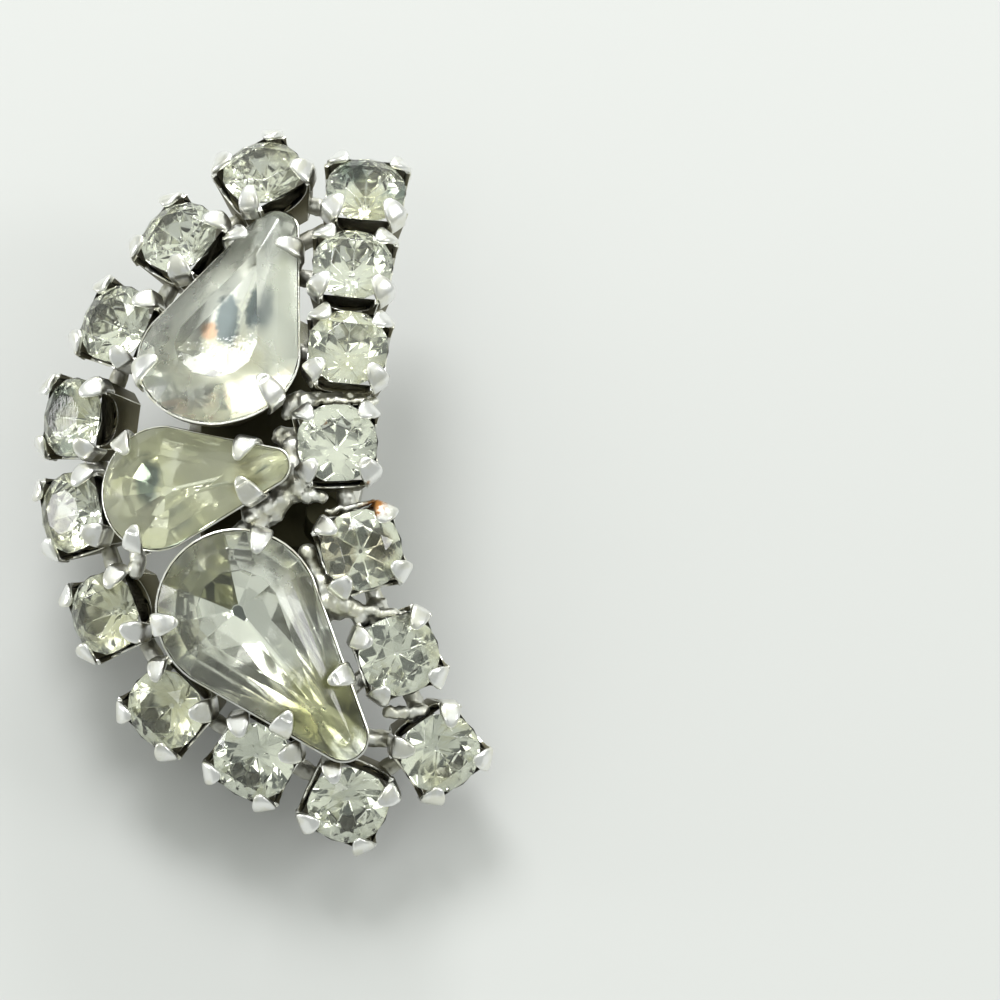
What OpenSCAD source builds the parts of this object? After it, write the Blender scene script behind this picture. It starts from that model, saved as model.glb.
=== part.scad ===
// Rhinestone clip earring: a crescent of prong-set round and pear stones, lying face up on its ear clip.
// X runs across the crescent, Y along it and Z up. The origin is on the table, under the middle of the crescent.

/* [Dome] */
// Height of the stones' girdles at the crown of the dome
dome_top = 12.6; // [12.4:0.1:13.4]
// Radius of the dome across the crescent
dome_radius_across = 16; // [15.5:0.5:17]
// Radius of the dome along the crescent
dome_radius_along = 27; // [26:0.5:29]
// How far the pear stones stand above the dome
pear_lift = 0.6; // [0.4:0.1:0.9]

/* [Round stones] */
// Diameter of a round stone at its girdle
stone_d = 4.0; // [3.8:0.1:4.1]
// Height of the crown above the girdle
stone_crown = 0.65; // [0.5:0.05:0.75]
// Depth of the pavilion below the girdle
stone_pavilion = 1.7; // [1.4:0.1:1.9]

/* [Pear stones] */
// Length of the two large pear stones
large_pear_l = 13; // [12.6:0.1:13.2]
// Width of the two large pear stones
large_pear_w = 7.8; // [7.5:0.1:8]
// Length of the small pear stone
small_pear_l = 10; // [9.6:0.1:10.2]
// Width of the small pear stone
small_pear_w = 6; // [5.7:0.1:6.2]

/* [Settings] */
// Width of a square basket across its walls, at the girdle
basket_w = 4.3; // [4.25:0.05:4.4]
// Height of a basket below the girdle
basket_h = 2.9; // [2.7:0.1:3.1]
// Thickness of the sheet that baskets, cups and prongs are made of
sheet_t = 0.26; // [0.24:0.02:0.32]
// Width of a prong
prong_w = 0.85; // [0.75:0.05:0.9]
// Depth of the scallop in each basket wall
scallop_depth = 1.2; // [0.9:0.1:1.4]

/* [Ear clip] */
// Gap that the earlobe goes into
lobe_gap = 4.7; // [4.6:0.1:5]
// Width of the clip's paddle
paddle_w = 9; // [8:0.5:10]
// Length of the clip from hinge to free end
clip_l = 17; // [16:0.5:18]

/* [Hidden] */

SILVER = [0.78, 0.78, 0.76];
CRYSTAL = [0.86, 0.89, 0.86];
AGED_CRYSTAL = [0.80, 0.82, 0.62];

// Where the crown of the dome is in plan
DOME_CROWN = [3.3, 5.3];
// Gap between a stone and its own setting, and the least that other metal keeps from it
SEAT_GAP = 0.08;
CUT_GAP = 0.06;
// Half the thickness of a girdle
GIRDLE = 0.06;

// Columns of the two tables of round settings. The leans are the slopes of the setting's axis to the
// right and up the crescent, in degrees; turn is the basket's own turn about its axis; pear is the
// row of PEARS whose cup it is soldered to.
X = 0;
Y = 1;
LEAN_X = 2;
LEAN_Y = 3;
TURN = 4;
PEAR = 5;

// The outer arc, from the top of the crescent to its foot
OUTER = [
    // x, y, lean_x, lean_y, turn, pear
    [ 0.1,  15.5,  -8,  20,  32, 0],
    [-4.0,  12.2, -21,  13, -39, 0],
    [-7.1,   8.0, -31,   2, -28, 0],
    [-9.2,   3.6, -43, -10, -10, 1],
    [-9.2,  -1.1, -42, -18,  15, 1],
    [-7.5,  -6.2, -36, -26,  25, 2],
    [-4.5, -10.9, -25, -34, -40, 2],
    [-0.2, -13.5, -12, -38, -29, 2],
    [ 4.4, -15.4,   4, -40, -25, 2],
];

// The inner column, from the top of the crescent to its foot
INNER = [
    [ 5.2,  14.3,   4,  18,  -3, 0],
    [ 4.6,   9.9,   3,  11,  -5, 0],
    [ 4.4,   5.4,   3,   3,  -5, 0],
    [ 3.9,   0.6,   3,  -5,   3, 1],
    [ 5.1,  -4.4,   5, -15,  16, 2],
    [ 6.9,  -9.0,   9, -25,  19, 2],
    [ 8.9, -13.0,  16, -34,  34, 2],
];

// More columns of the pear table. x and y are the middle of the round end.
LENGTH = 5;
WIDTH = 6;
TIP_R = 7;
PRONG_Y = 8;
PEARS = [
    // x, y, lean_x, lean_y, turn, length, width, tip radius, place of the tip prongs along the stone
    [-1.9,  5.0,  -5,  15,  -19, large_pear_l, large_pear_w, 1.15, 6.8],
    [-4.8, -1.1, -24, -10,  -84, small_pear_l, small_pear_w, 0.85, 5.1],
    [-0.9, -7.2,   2, -20, -140, large_pear_l, large_pear_w, 1.15, 5.7],
];
PEAR_NAMES = ["top", "middle", "bottom"];

// Lumps of solder that fill the corners between the cups and the inner column
BELOW = 2;
LUMP_R = 3;
LUMPS = [
    // x, y, depth of the middle below the dome, radius
    [ 2.0,  -0.7, 0.8, 0.95],
    [-0.2,  -2.5, 0.6, 0.85],
    [ 1.5,   1.2, 1.1, 0.85],
    [ 2.2,   2.7, 0.5, 0.75],
    [ 5.9,  -6.7, 1.4, 0.85],
    [ 3.7,  -6.8, 0.9, 0.80],
    [ 7.9, -11.0, 1.5, 0.75],
];

// Crown and pavilion of a pear stone, as shares of its width
PEAR_CROWN = 0.15;
PEAR_PAVILION = 0.30;
// How far the rings where a pear's facets meet lie in from the girdle, as shares of its width, and
// the heights of the two between girdle, table and keel, as shares of the crown and of the pavilion
PEAR_TABLE_INSET = 0.24;
PEAR_STAR_INSET = 0.10;
PEAR_STAR_RISE = 0.60;
PEAR_LOWER_INSET = 0.22;
PEAR_LOWER_FALL = 0.55;
PEAR_KEEL_INSET = 0.42;
// Prongs of a pear cup: the angle of the lower two below the widest line, how far each reaches over
// the glass, how much higher its knee is than a basket's, and its tip's height as a share of the crown
PEAR_PRONG_ANGLE = 30;
PEAR_PRONG_REACH = 1.05;
PEAR_KNEE_RISE = 0.26;
PEAR_TIP_SHARE = 0.72;
PEAR_SIDES = 24;
// The tightest that a pear's outline turns at its tip, where it is moved in
TIP_R_LEAST = 0.15;

// A round stone's main facets, and its table and the rings where facets meet, as shares of its radius
FACETS = 8;
TABLE = 0.56;
STAR = 0.80;
CULET = 0.06;
LOWER = 0.50;

// Places in a round setting
STRAP = basket_w / 2;
CORNER_R = STRAP + 0.39;
FOOT_SHRINK = 0.78;
KNEE_Z = 0.28;
PRONG_STANDS_OUT = 0.06;
TIP_R_ROUND = 1.40;
SOLDER_DEPTH = 1.9;
SOLDER_R = 0.45;
// Where a run of solder starts, as a share of the way from a setting's middle to its wall
WALL_SHARE = 0.93;

// The clip, from the table up
PADDLE_T = 0.9;
RIB_H = 0.2;
PLATE_T = 0.8;
PLATE_L = 11;
PLATE_W = 7;
CLIP_X = 0.6;
CLIP_Y = -5.7;
HINGE_R = 1.2;
HINGE_Y = 1.2;
PLATE_Y = 1.8;
PLATE_Z = PADDLE_T + RIB_H + lobe_gap;
BRIDGE_Z = PLATE_Z + PLATE_T + SEAT_GAP;
BRIDGE_T = 0.8;
BRIDGE_L = PLATE_L - 0.8;
// Where the posts of the bridge stand, and their radius
POSTS = [[-1.8, 5.6], [3.8, 3.0], [-1.8, 0.8], [3.2, -2.0]];
POST_R = 0.9;

function unit(v) = v / norm(v);
function axis_of(row) = unit([tan(row[LEAN_X]), tan(row[LEAN_Y]), 1]);
function across_of(n) = unit([1, 0, 0] - n.x * n);
function dome_z(x, y) = dome_top
    - pow(x - DOME_CROWN.x, 2) / (2 * dome_radius_across)
    - pow(y - DOME_CROWN.y, 2) / (2 * dome_radius_along);
function place_of(row, lift) = [row[X], row[Y], dome_z(row[X], row[Y]) + lift];

// Puts its children on the dome, at a row's place, lean and turn
module seat(row, lift = 0) {
    n = axis_of(row);
    u = across_of(n);
    v = cross(n, u);
    p = place_of(row, lift);
    multmatrix([[u.x, v.x, n.x, p.x], [u.y, v.y, n.y, p.y], [u.z, v.z, n.z, p.z], [0, 0, 0, 1]])
        rotate([0, 0, row[TURN]])
            children();
}

// A closed solid through rings that have the same number of points, from the lowest ring up
module loft(rings) {
    n = len(rings[0]);
    top = n * (len(rings) - 1);
    polyhedron(
        points = [for (ring = rings) each ring],
        faces = concat(
            [[for (i = [0:n - 1]) i]],
            [for (k = [0:len(rings) - 2], i = [0:n - 1])
                [k * n + i, (k + 1) * n + i, (k + 1) * n + (i + 1) % n, k * n + (i + 1) % n]],
            [[for (i = [n - 1:-1:0]) top + i]]));
}

// The convex solid round a set of points, as a cut stone is
module cut_stone(points) {
    hull()
        polyhedron(points = points, faces = [[for (i = [0:len(points) - 1]) i]]);
}

function circle_ring(r, z, sides, start = 0) =
    [for (i = [0:sides - 1]) [r * cos(start + i * 360 / sides), r * sin(start + i * 360 / sides), z]];

// Round brilliant: octagonal table, 8 star, 8 main and 16 girdle facets, and 24 facets below.
// The star ring lies on the planes of the main facets, so each main facet is flat.
function round_points(clear = 0) =
    let (r = stone_d / 2 + clear,
         g = GIRDLE + clear,
         crown = stone_crown + clear,
         rise = (crown - g) / (r * (1 - TABLE)),
         fall = (stone_pavilion + clear - g) / (r * (1 - CULET)),
         turn = 180 / FACETS,
         half = cos(turn))
    concat(
        circle_ring(r * TABLE, crown, FACETS, turn),
        circle_ring(r * STAR, g + r * (1 - STAR * half) * rise, FACETS),
        circle_ring(r, g, 2 * FACETS),
        circle_ring(r, -g, 2 * FACETS),
        circle_ring(r * LOWER, -g - r * (1 - LOWER * half) * fall, FACETS),
        circle_ring(r * CULET, -stone_pavilion - clear, FACETS, turn));

// Outline of a pear, moved in by inset: the round end about the origin and the tip up the y axis.
// Each point is the outline's outermost one in the direction of its angle.
function pear_point(row, inset, angle, z) =
    let (r = row[WIDTH] / 2,
         taper = (r - row[TIP_R]) / (row[LENGTH] - r - row[TIP_R]),
         on_tip = sin(angle) > taper,
         tip = max(row[TIP_R] - inset, TIP_R_LEAST),
         rad = on_tip ? tip : r - inset,
         y = on_tip ? (r - inset - tip) / taper : 0)
    [rad * cos(angle), y + rad * sin(angle), z];
function pear_ring(row, inset, z, sides = PEAR_SIDES, start = 0) =
    [for (i = [0:sides - 1]) pear_point(row, inset, start + i * 360 / sides, z)];

function pear_points(row, clear = 0) =
    let (w = row[WIDTH],
         g = GIRDLE + clear,
         crown = w * PEAR_CROWN + clear,
         deep = w * PEAR_PAVILION + clear,
         facets = PEAR_SIDES / 2)
    concat(
        pear_ring(row, w * PEAR_TABLE_INSET - clear, crown, facets, 180 / facets),
        pear_ring(row, w * PEAR_STAR_INSET - clear, g + (crown - g) * PEAR_STAR_RISE, facets),
        pear_ring(row, -clear, g),
        pear_ring(row, -clear, -g),
        pear_ring(row, w * PEAR_LOWER_INSET - clear, -g - (deep - g) * PEAR_LOWER_FALL, facets),
        pear_ring(row, w * PEAR_KEEL_INSET - clear, -deep, 8));

// Half the width of a pear's outline at a place along it
function pear_edge(row, y) =
    let (r = row[WIDTH] / 2, taper = (r - row[TIP_R]) / (row[LENGTH] - r - row[TIP_R]))
    y < r * taper ? sqrt(r * r - y * y) : (r - y * taper) / cos(asin(taper));

module round_stone(row) {
    color(CRYSTAL)
        seat(row)
            cut_stone(round_points());
}

module pear_stone(row, tint) {
    color(tint)
        seat(row, pear_lift)
            cut_stone(pear_points(row));
}

// A strip that stands up from the wall and folds in over the stone. Its outer face is at x = 0
// and the stone is towards -x.
module prong(reach, knee_z, tip_z) {
    root = 0.7;
    lean_in = 0.12;
    knee_rise = 0.14;
    tip_w = prong_w / 2;
    tip_t = 0.24;
    bevel = 0.1;
    loft([strip_ring(-sheet_t, 0, prong_w, -root, -root),
          strip_ring(-sheet_t - lean_in, -lean_in, prong_w, knee_z, knee_z + knee_rise),
          strip_ring(-reach, -reach + bevel, tip_w, tip_z, tip_z + tip_t)]);
}

// Section of a strip from its inner face to its outer one
function strip_ring(x_in, x_out, w, z_in, z_out) =
    [[x_in, -w / 2, z_in], [x_out, -w / 2, z_out], [x_out, w / 2, z_out], [x_in, w / 2, z_in]];

// A square with cut corners, where the prongs stand
function basket_ring(half, corner, z) =
    let (c = corner * sqrt(2) - half)
    [[half, -c, z], [half, c, z], [c, half, z], [-c, half, z],
     [-half, c, z], [-half, -c, z], [-c, -half, z], [c, -half, z]];

// Half an ellipse that is cut from a basket wall's edge
module scallop() {
    half_w = 1.27;
    steps = 5;
    above = 0.2;
    polygon(concat(
        [[half_w, above], [-half_w, above]],
        [for (i = [0:steps]) let (a = 180 + i * 180 / steps) [half_w * cos(a), scallop_depth * sin(a)]]));
}

// Open square basket with a scallop in each wall and a folded prong on each corner
module basket() {
    foot = FOOT_SHRINK;
    past = 0.01;
    difference() {
        loft([basket_ring(STRAP * foot, CORNER_R * foot, -basket_h),
              basket_ring(STRAP, CORNER_R, 0)]);
        loft([basket_ring(STRAP * foot - sheet_t, CORNER_R * foot - sheet_t, -basket_h - past),
              basket_ring(STRAP - sheet_t, CORNER_R - sheet_t, past)]);
        for (turn = [0, 90])
            rotate([90, 0, turn])
                linear_extrude(2 * basket_w, center = true)
                    scallop();
    }
    for (i = [0:3])
        rotate([0, 0, 45 + 90 * i])
            translate([CORNER_R + PRONG_STANDS_OUT, 0, 0])
                prong(CORNER_R + PRONG_STANDS_OUT - TIP_R_ROUND, KNEE_Z, stone_crown);
}

// Drop-shaped cup with a floor, a thin rim round the girdle and four prongs
module pear_cup(row) {
    r = row[WIDTH] / 2;
    wall = SEAT_GAP + sheet_t;
    deep = row[WIDTH] * PEAR_PAVILION + SEAT_GAP;
    rim_z = 0.1;
    bend_z = -0.55;
    floor_inset = 1.9;
    out = wall + PRONG_STANDS_OUT;
    reach = out + PEAR_PRONG_REACH;
    knee_z = KNEE_Z + PEAR_KNEE_RISE;
    tip_z = row[WIDTH] * PEAR_CROWN * PEAR_TIP_SHARE + 3 * SEAT_GAP;
    side_angle = asin((r - row[TIP_R]) / (row[LENGTH] - r - row[TIP_R]));
    difference() {
        loft([pear_ring(row, floor_inset - wall, -deep - sheet_t),
              pear_ring(row, -wall, bend_z - SEAT_GAP),
              pear_ring(row, -wall, rim_z)]);
        loft([pear_ring(row, floor_inset - SEAT_GAP, -deep),
              pear_ring(row, -SEAT_GAP, bend_z),
              pear_ring(row, -SEAT_GAP, rim_z + SEAT_GAP)]);
    }
    for (side = [0, 1])
        mirror([side, 0, 0]) {
            rotate([0, 0, -PEAR_PRONG_ANGLE])
                translate([r + out, 0, 0])
                    prong(reach, knee_z, tip_z);
            translate([pear_edge(row, row[PRONG_Y]), row[PRONG_Y], 0])
                rotate([0, 0, side_angle])
                    translate([out, 0, 0])
                        prong(reach, knee_z, tip_z);
        }
}

// A run of solder from a to b
module solder(a, b) {
    hull()
        for (end = [a, b])
            translate(end)
                sphere(SOLDER_R, $fn = 5);
}

// The middle of a setting at the depth where it is soldered
function joint_of(row, lift = 0) = place_of(row, lift) - SOLDER_DEPTH * axis_of(row);

// Solder between neighbours round the crescent
module ring_joints() {
    loop = concat(OUTER, [for (i = [len(INNER) - 1:-1:0]) INNER[i]]);
    for (i = [0:len(loop) - 1]) {
        a = joint_of(loop[i]);
        b = joint_of(loop[(i + 1) % len(loop)]);
        from = min(WALL_SHARE * STRAP / norm(b - a), 0.48);
        solder(a + from * (b - a), b - from * (b - a));
    }
}

// The point on a pear's middle line that is nearest to p, at the depth where its cup is soldered
function nearest_on_pear(row, p) =
    let (n = axis_of(row),
         u = across_of(n),
         v = cross(n, u),
         along = v * cos(row[TURN]) - u * sin(row[TURN]),
         c = joint_of(row, pear_lift),
         t = max(0, min(row[LENGTH] - row[WIDTH] / 2 - row[TIP_R], (p - c) * along)))
    [c + t * along, pear_edge(row, t)];

// Solder from each round setting to the cup beside it
module cup_joints() {
    for (row = concat(OUTER, INNER)) {
        a = joint_of(row);
        near = nearest_on_pear(PEARS[row[PEAR]], a);
        b = near[0];
        gap = norm(b - a);
        from = WALL_SHARE * STRAP / gap;
        to = 1 - WALL_SHARE * near[1] / gap;
        if (to > from)
            solder(a + from * (b - a), a + to * (b - a));
    }
}

module solder_lumps() {
    for (p = LUMPS)
        translate([p[X], p[Y], dome_z(p[X], p[Y]) - p[BELOW]])
            sphere(p[LUMP_R], $fn = 8);
}

// Plate across the backs of the cups that the clip is soldered to, with posts up to the settings
module back_bridge() {
    floor_z = BRIDGE_Z + BRIDGE_T / 2;
    translate([CLIP_X, CLIP_Y + PLATE_Y + PLATE_L - BRIDGE_L / 2, BRIDGE_Z])
        rounded_plate(PLATE_W, BRIDGE_L, BRIDGE_T);
    for (p = POSTS)
        translate([p.x, p.y, floor_z])
            cylinder(h = dome_z(p.x, p.y) - SOLDER_DEPTH - floor_z, r = POST_R, $fn = 6);
}

module rounded_plate(w, l, t) {
    r = 1.5;
    linear_extrude(t)
        hull()
            for (sx = [-1, 1], sy = [-1, 1])
                translate([sx * (w / 2 - r), sy * (l / 2 - r)])
                    circle(r, $fn = 16);
}

// All the soldered metal of the crescent
module setting() {
    color(SILVER)
        difference() {
            union() {
                for (row = concat(OUTER, INNER))
                    seat(row)
                        basket();
                for (row = PEARS)
                    seat(row, pear_lift)
                        pear_cup(row);
                ring_joints();
                cup_joints();
                solder_lumps();
                back_bridge();
            }
            for (row = concat(OUTER, INNER))
                seat(row)
                    cut_stone(round_points(CUT_GAP));
            for (row = PEARS)
                seat(row, pear_lift)
                    cut_stone(pear_points(row, CUT_GAP));
        }
}

// Side view of the bent strip that is the hinge arm and the paddle, with y along the clip and z up.
// It runs from the hinge down and round to the table, and turns up a little at its free end.
function arm_arc(middle, r, from, to, steps) =
    [for (i = [0:steps]) let (a = from + (to - from) * i / steps) [middle + r * cos(a), middle + r * sin(a)]];

module clip_arm_profile() {
    bend = (PLATE_Z + HINGE_R - PADDLE_T) / 2;
    tip_rise = 1.0;
    tip_l = 4;
    steps = 8;
    polygon(concat(
        [[clip_l, tip_rise], [clip_l - tip_l, 0]],
        arm_arc(bend, bend, 270, 180, steps),
        [[0, PLATE_Z], [PADDLE_T, PLATE_Z]],
        arm_arc(bend, bend - PADDLE_T, 180, 270, steps),
        [[clip_l - tip_l, PADDLE_T], [clip_l, tip_rise + PADDLE_T]]));
}

// Plain clip: base plate, hinge barrel, and a bent arm that widens to the ribbed oval paddle
module ear_clip() {
    arm_w = 4.5;
    arm_l = 7;
    blade_l = 14;
    ribs = 4;
    rib_pitch = 1.7;
    rib_w = 0.6;
    rib_l = 8;
    rib_y = 5;
    sunk = 0.1;
    color(SILVER)
        translate([CLIP_X, CLIP_Y, 0]) {
            translate([0, PLATE_Y + PLATE_L / 2, PLATE_Z])
                rounded_plate(PLATE_W, PLATE_L, PLATE_T);
            translate([0, HINGE_Y, PLATE_Z])
                rotate([0, 90, 0])
                    cylinder(h = PLATE_W - 1, r = HINGE_R, center = true, $fn = 24);
            intersection() {
                rotate([90, 0, 90])
                    linear_extrude(paddle_w, center = true)
                        clip_arm_profile();
                linear_extrude(3 * PLATE_Z)
                    union() {
                        translate([-arm_w / 2, 0])
                            square([arm_w, arm_l]);
                        translate([0, clip_l - blade_l / 2])
                            scale([paddle_w / blade_l, 1])
                                circle(d = blade_l, $fn = 36);
                    }
            }
            for (i = [0:ribs - 1])
                translate([(i - (ribs - 1) / 2) * rib_pitch - rib_w / 2, rib_y, PADDLE_T - sunk])
                    cube([rib_w, rib_l, RIB_H + sunk]);
        }
}

module outer_stone(i) {
    round_stone(OUTER[i]);
}

module inner_stone(i) {
    round_stone(INNER[i]);
}

setting();
for (i = [0:len(OUTER) - 1])
    outer_stone(i);
for (i = [0:len(INNER) - 1])
    inner_stone(i);
for (i = [0:len(PEARS) - 1])
    pear_stone(PEARS[i], i == 1 ? AGED_CRYSTAL : CRYSTAL);
ear_clip();
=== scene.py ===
"""Rhinestone clip earring: a crescent of prong-set stones, lying face up on its ear clip.

Each sub-assembly is modelled in millimetres and placed in metres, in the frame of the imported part.
"""

import logging
import math
import random
from dataclasses import dataclass
from enum import Enum
from typing import Callable, Iterable, NamedTuple, Sequence

import bpy
from mathutils import Matrix, Vector

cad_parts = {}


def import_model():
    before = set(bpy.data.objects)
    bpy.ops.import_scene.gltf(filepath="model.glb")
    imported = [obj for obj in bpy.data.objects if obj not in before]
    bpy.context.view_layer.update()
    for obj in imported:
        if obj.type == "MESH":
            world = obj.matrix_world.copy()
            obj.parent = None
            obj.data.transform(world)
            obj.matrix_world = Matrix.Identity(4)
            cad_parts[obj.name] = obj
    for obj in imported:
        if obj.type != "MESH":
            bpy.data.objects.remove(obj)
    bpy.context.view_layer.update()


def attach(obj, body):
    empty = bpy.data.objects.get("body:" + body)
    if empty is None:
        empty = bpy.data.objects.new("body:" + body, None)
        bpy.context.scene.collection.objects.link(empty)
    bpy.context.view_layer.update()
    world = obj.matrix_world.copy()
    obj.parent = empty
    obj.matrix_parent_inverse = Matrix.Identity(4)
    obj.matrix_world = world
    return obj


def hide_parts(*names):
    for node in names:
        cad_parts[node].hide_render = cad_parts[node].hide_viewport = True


log = logging.getLogger("earring")

Colour = tuple[float, float, float, float]
Place = tuple[float, float, float]

# Sizes are in millimetres, and the frame is in metres.
METRE = 0.001
TO_METRES = Matrix.Scale(METRE, 4)

# Thickness of the sheet metal, and half the thickness of a girdle
SHEET = 0.26
GIRDLE = 0.06
# Half the width of a basket, and how far out its cut corners are
STRAP = 2.15
CORNER = 2.54
# How far under the girdles the solder lies, and how far the pears stand above the dome
SOLDER_DEPTH = 1.9
PEAR_LIFT = 0.6

# Faces that turn less than this from each other, in degrees, are one facet
SAME_PLANE = 0.4
# The sharpest turns, in degrees, that are left as they are: between facets, and on metal
FACET_EDGE = 4.0
METAL_EDGE = 50.0
# A face squarely faces an axis when this much of its normal lies along it, in either direction
LEVEL = 0.9
# Two places closer than this are one, in millimetres
SAME_PLACE = 1e-4

BODY = "root"


class Arc(Enum):
    """Which row of round stones a setting is in."""

    OUTER = "outer"
    INNER = "inner"


class Tint(Enum):
    """Which glass a stone is cut from."""

    CLEAR = "crystal"
    AGED = "aged_crystal"


class Tip(Enum):
    """How the end of a prong looks."""

    PLAIN = "plain"
    PITTED = "pitted"


@dataclass(frozen=True)
class Dome:
    """The low dome that the stones' girdles lie on, in millimetres."""

    top: float = 12.6
    radius_across: float = 16.0
    radius_along: float = 27.0
    crown_x: float = 3.3
    crown_y: float = 5.3

    def height(self, x: float, y: float) -> float:
        """Returns the height of the dome over a point of the table."""
        across = (x - self.crown_x) ** 2 / (2 * self.radius_across)
        return self.top - across - (y - self.crown_y) ** 2 / (2 * self.radius_along)


DOME = Dome()


class Seat(NamedTuple):
    """Where a setting sits on the dome: its place, its leans and turn in degrees, and the pear beside it.

    The pear is given by its place in PEARS, and only the round settings use it.
    """

    x: float
    y: float
    lean_x: float
    lean_y: float
    turn: float
    pear: int = 0

    def axis(self) -> Vector:
        """Returns the direction that the stone faces."""
        slopes = (math.tan(math.radians(self.lean_x)), math.tan(math.radians(self.lean_y)), 1.0)
        return Vector(slopes).normalized()

    def point(self, lift: float = 0.0) -> Vector:
        """Returns the middle of the girdle."""
        return Vector((self.x, self.y, DOME.height(self.x, self.y) + lift))

    def matrix(self, lift: float = 0.0) -> Matrix:
        """Returns the matrix that takes a setting from the bench to its place, in millimetres.

        Args:
            lift: how far the setting stands above the dome.

        Returns:
            The matrix, without a change of scale.
        """
        n = self.axis()
        u = (Vector((1, 0, 0)) - n.x * n).normalized()
        v = n.cross(u)
        turned = Matrix((u, v, n)).transposed() @ Matrix.Rotation(math.radians(self.turn), 3, "Z")
        return Matrix.Translation(self.point(lift)) @ turned.to_4x4()


# The round settings, each row from the top of the crescent to its foot
OUTER = (
    Seat(0.1, 15.5, -8, 20, 32, 0),
    Seat(-4.0, 12.2, -21, 13, -39, 0),
    Seat(-7.1, 8.0, -31, 2, -28, 0),
    Seat(-9.2, 3.6, -43, -10, -10, 1),
    Seat(-9.2, -1.1, -42, -18, 15, 1),
    Seat(-7.5, -6.2, -36, -26, 25, 2),
    Seat(-4.5, -10.9, -25, -34, -40, 2),
    Seat(-0.2, -13.5, -12, -38, -29, 2),
    Seat(4.4, -15.4, 4, -40, -25, 2),
)
INNER = (
    Seat(5.2, 14.3, 4, 18, -3, 0),
    Seat(4.6, 9.9, 3, 11, -5, 0),
    Seat(4.4, 5.4, 3, 3, -5, 0),
    Seat(3.9, 0.6, 3, -5, 3, 1),
    Seat(5.1, -4.4, 5, -15, 16, 2),
    Seat(6.9, -9.0, 9, -25, 19, 2),
    Seat(8.9, -13.0, 16, -34, 34, 2),
)
ROWS = {Arc.OUTER: OUTER, Arc.INNER: INNER}


def start_work() -> None:
    """Leaves edit mode and lets go of everything."""
    if bpy.context.mode != "OBJECT":
        bpy.ops.object.mode_set(mode="OBJECT")
    bpy.ops.object.select_all(action="DESELECT")


def take(*pieces: bpy.types.Object) -> None:
    """Selects these pieces alone, with the first one active.

    Args:
        pieces: the pieces.
    """
    start_work()
    for piece in pieces:
        piece.select_set(True)
    bpy.context.view_layer.objects.active = pieces[0]


def added(name: str) -> bpy.types.Object:
    """Names the piece that is active, which is the primitive just added or the pieces just joined.

    Args:
        name: its name.

    Returns:
        The piece.
    """
    piece = bpy.context.active_object
    piece.name = name
    piece.data.name = name
    return piece


def edit(piece: bpy.types.Object, kind: str = "FACE") -> None:
    """Opens a piece in edit mode with nothing selected.

    Args:
        piece: the piece to work on.
        kind: FACE, EDGE or VERT.
    """
    take(piece)
    bpy.ops.object.mode_set(mode="EDIT")
    bpy.ops.mesh.select_mode(type=kind)
    bpy.ops.mesh.select_all(action="DESELECT")


def pick_faces(piece: bpy.types.Object, wanted: Callable[[bpy.types.MeshPolygon], bool]) -> None:
    """Opens a piece with the wanted faces selected.

    Args:
        piece: the piece to work on.
        wanted: says for a face whether it is selected.
    """
    edit(piece, "FACE")
    bpy.ops.object.mode_set(mode="OBJECT")
    for face in piece.data.polygons:
        face.select = wanted(face)
    bpy.ops.object.mode_set(mode="EDIT")


def pick_points(piece: bpy.types.Object, wanted: Callable[[Vector], bool]) -> None:
    """Opens a piece with the wanted vertices selected.

    Args:
        piece: the piece to work on.
        wanted: says for a place whether its vertex is selected.
    """
    edit(piece, "VERT")
    bpy.ops.object.mode_set(mode="OBJECT")
    for point in piece.data.vertices:
        point.select = wanted(point.co)
    bpy.ops.object.mode_set(mode="EDIT")


def pick_edges(piece: bpy.types.Object, wanted: Callable[[Vector, Vector], bool]) -> None:
    """Opens a piece with the wanted edges selected.

    Args:
        piece: the piece to work on.
        wanted: says for the places of an edge's two ends whether it is selected.
    """
    edit(piece, "EDGE")
    bpy.ops.object.mode_set(mode="OBJECT")
    points = piece.data.vertices
    for line in piece.data.edges:
        a, b = line.vertices
        line.select = wanted(points[a].co, points[b].co)
    bpy.ops.object.mode_set(mode="EDIT")


def work(piece: bpy.types.Object, kind: str, **settings: object) -> None:
    """Adds a modifier with these settings to a piece and applies it.

    Args:
        piece: the piece to work on.
        kind: Blender's name of the modifier.
        settings: the modifier's own values.
    """
    take(piece)
    modifier = piece.modifiers.new(kind.title(), kind)
    for key, value in settings.items():
        setattr(modifier, key, value)
    bpy.ops.object.modifier_apply(modifier=modifier.name)


def cut(piece: bpy.types.Object, tool: bpy.types.Object, operation: str = "DIFFERENCE") -> None:
    """Cuts a piece with a tool, which is used up.

    Args:
        piece: the piece to work on.
        tool: the closed mesh to cut with.
        operation: DIFFERENCE, INTERSECT or UNION.
    """
    work(piece, "BOOLEAN", object=tool, operation=operation, solver="EXACT")
    bpy.data.objects.remove(tool)


def join(name: str, pieces: Sequence[bpy.types.Object]) -> bpy.types.Object:
    """Joins pieces into the first one and names it.

    Args:
        name: the name of the joined piece.
        pieces: the pieces, which become one.

    Returns:
        The joined piece.
    """
    take(*pieces)
    if len(pieces) > 1:
        bpy.ops.object.join()
    return added(name)


def copy_of(piece: bpy.types.Object, name: str, matrix: Matrix) -> bpy.types.Object:
    """Copies a piece with its own mesh and moves the mesh.

    Args:
        piece: the piece to copy.
        name: the name of the copy.
        matrix: where the copy's mesh goes.

    Returns:
        The copy.
    """
    made = piece.copy()
    made.data = piece.data.copy()
    made.name = name
    made.data.name = name
    bpy.context.scene.collection.objects.link(made)
    made.data.transform(matrix)
    return made


def face_outwards() -> None:
    """Turns all the faces of the open piece outwards."""
    bpy.ops.mesh.select_all(action="SELECT")
    bpy.ops.mesh.normals_make_consistent(inside=False)


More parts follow.
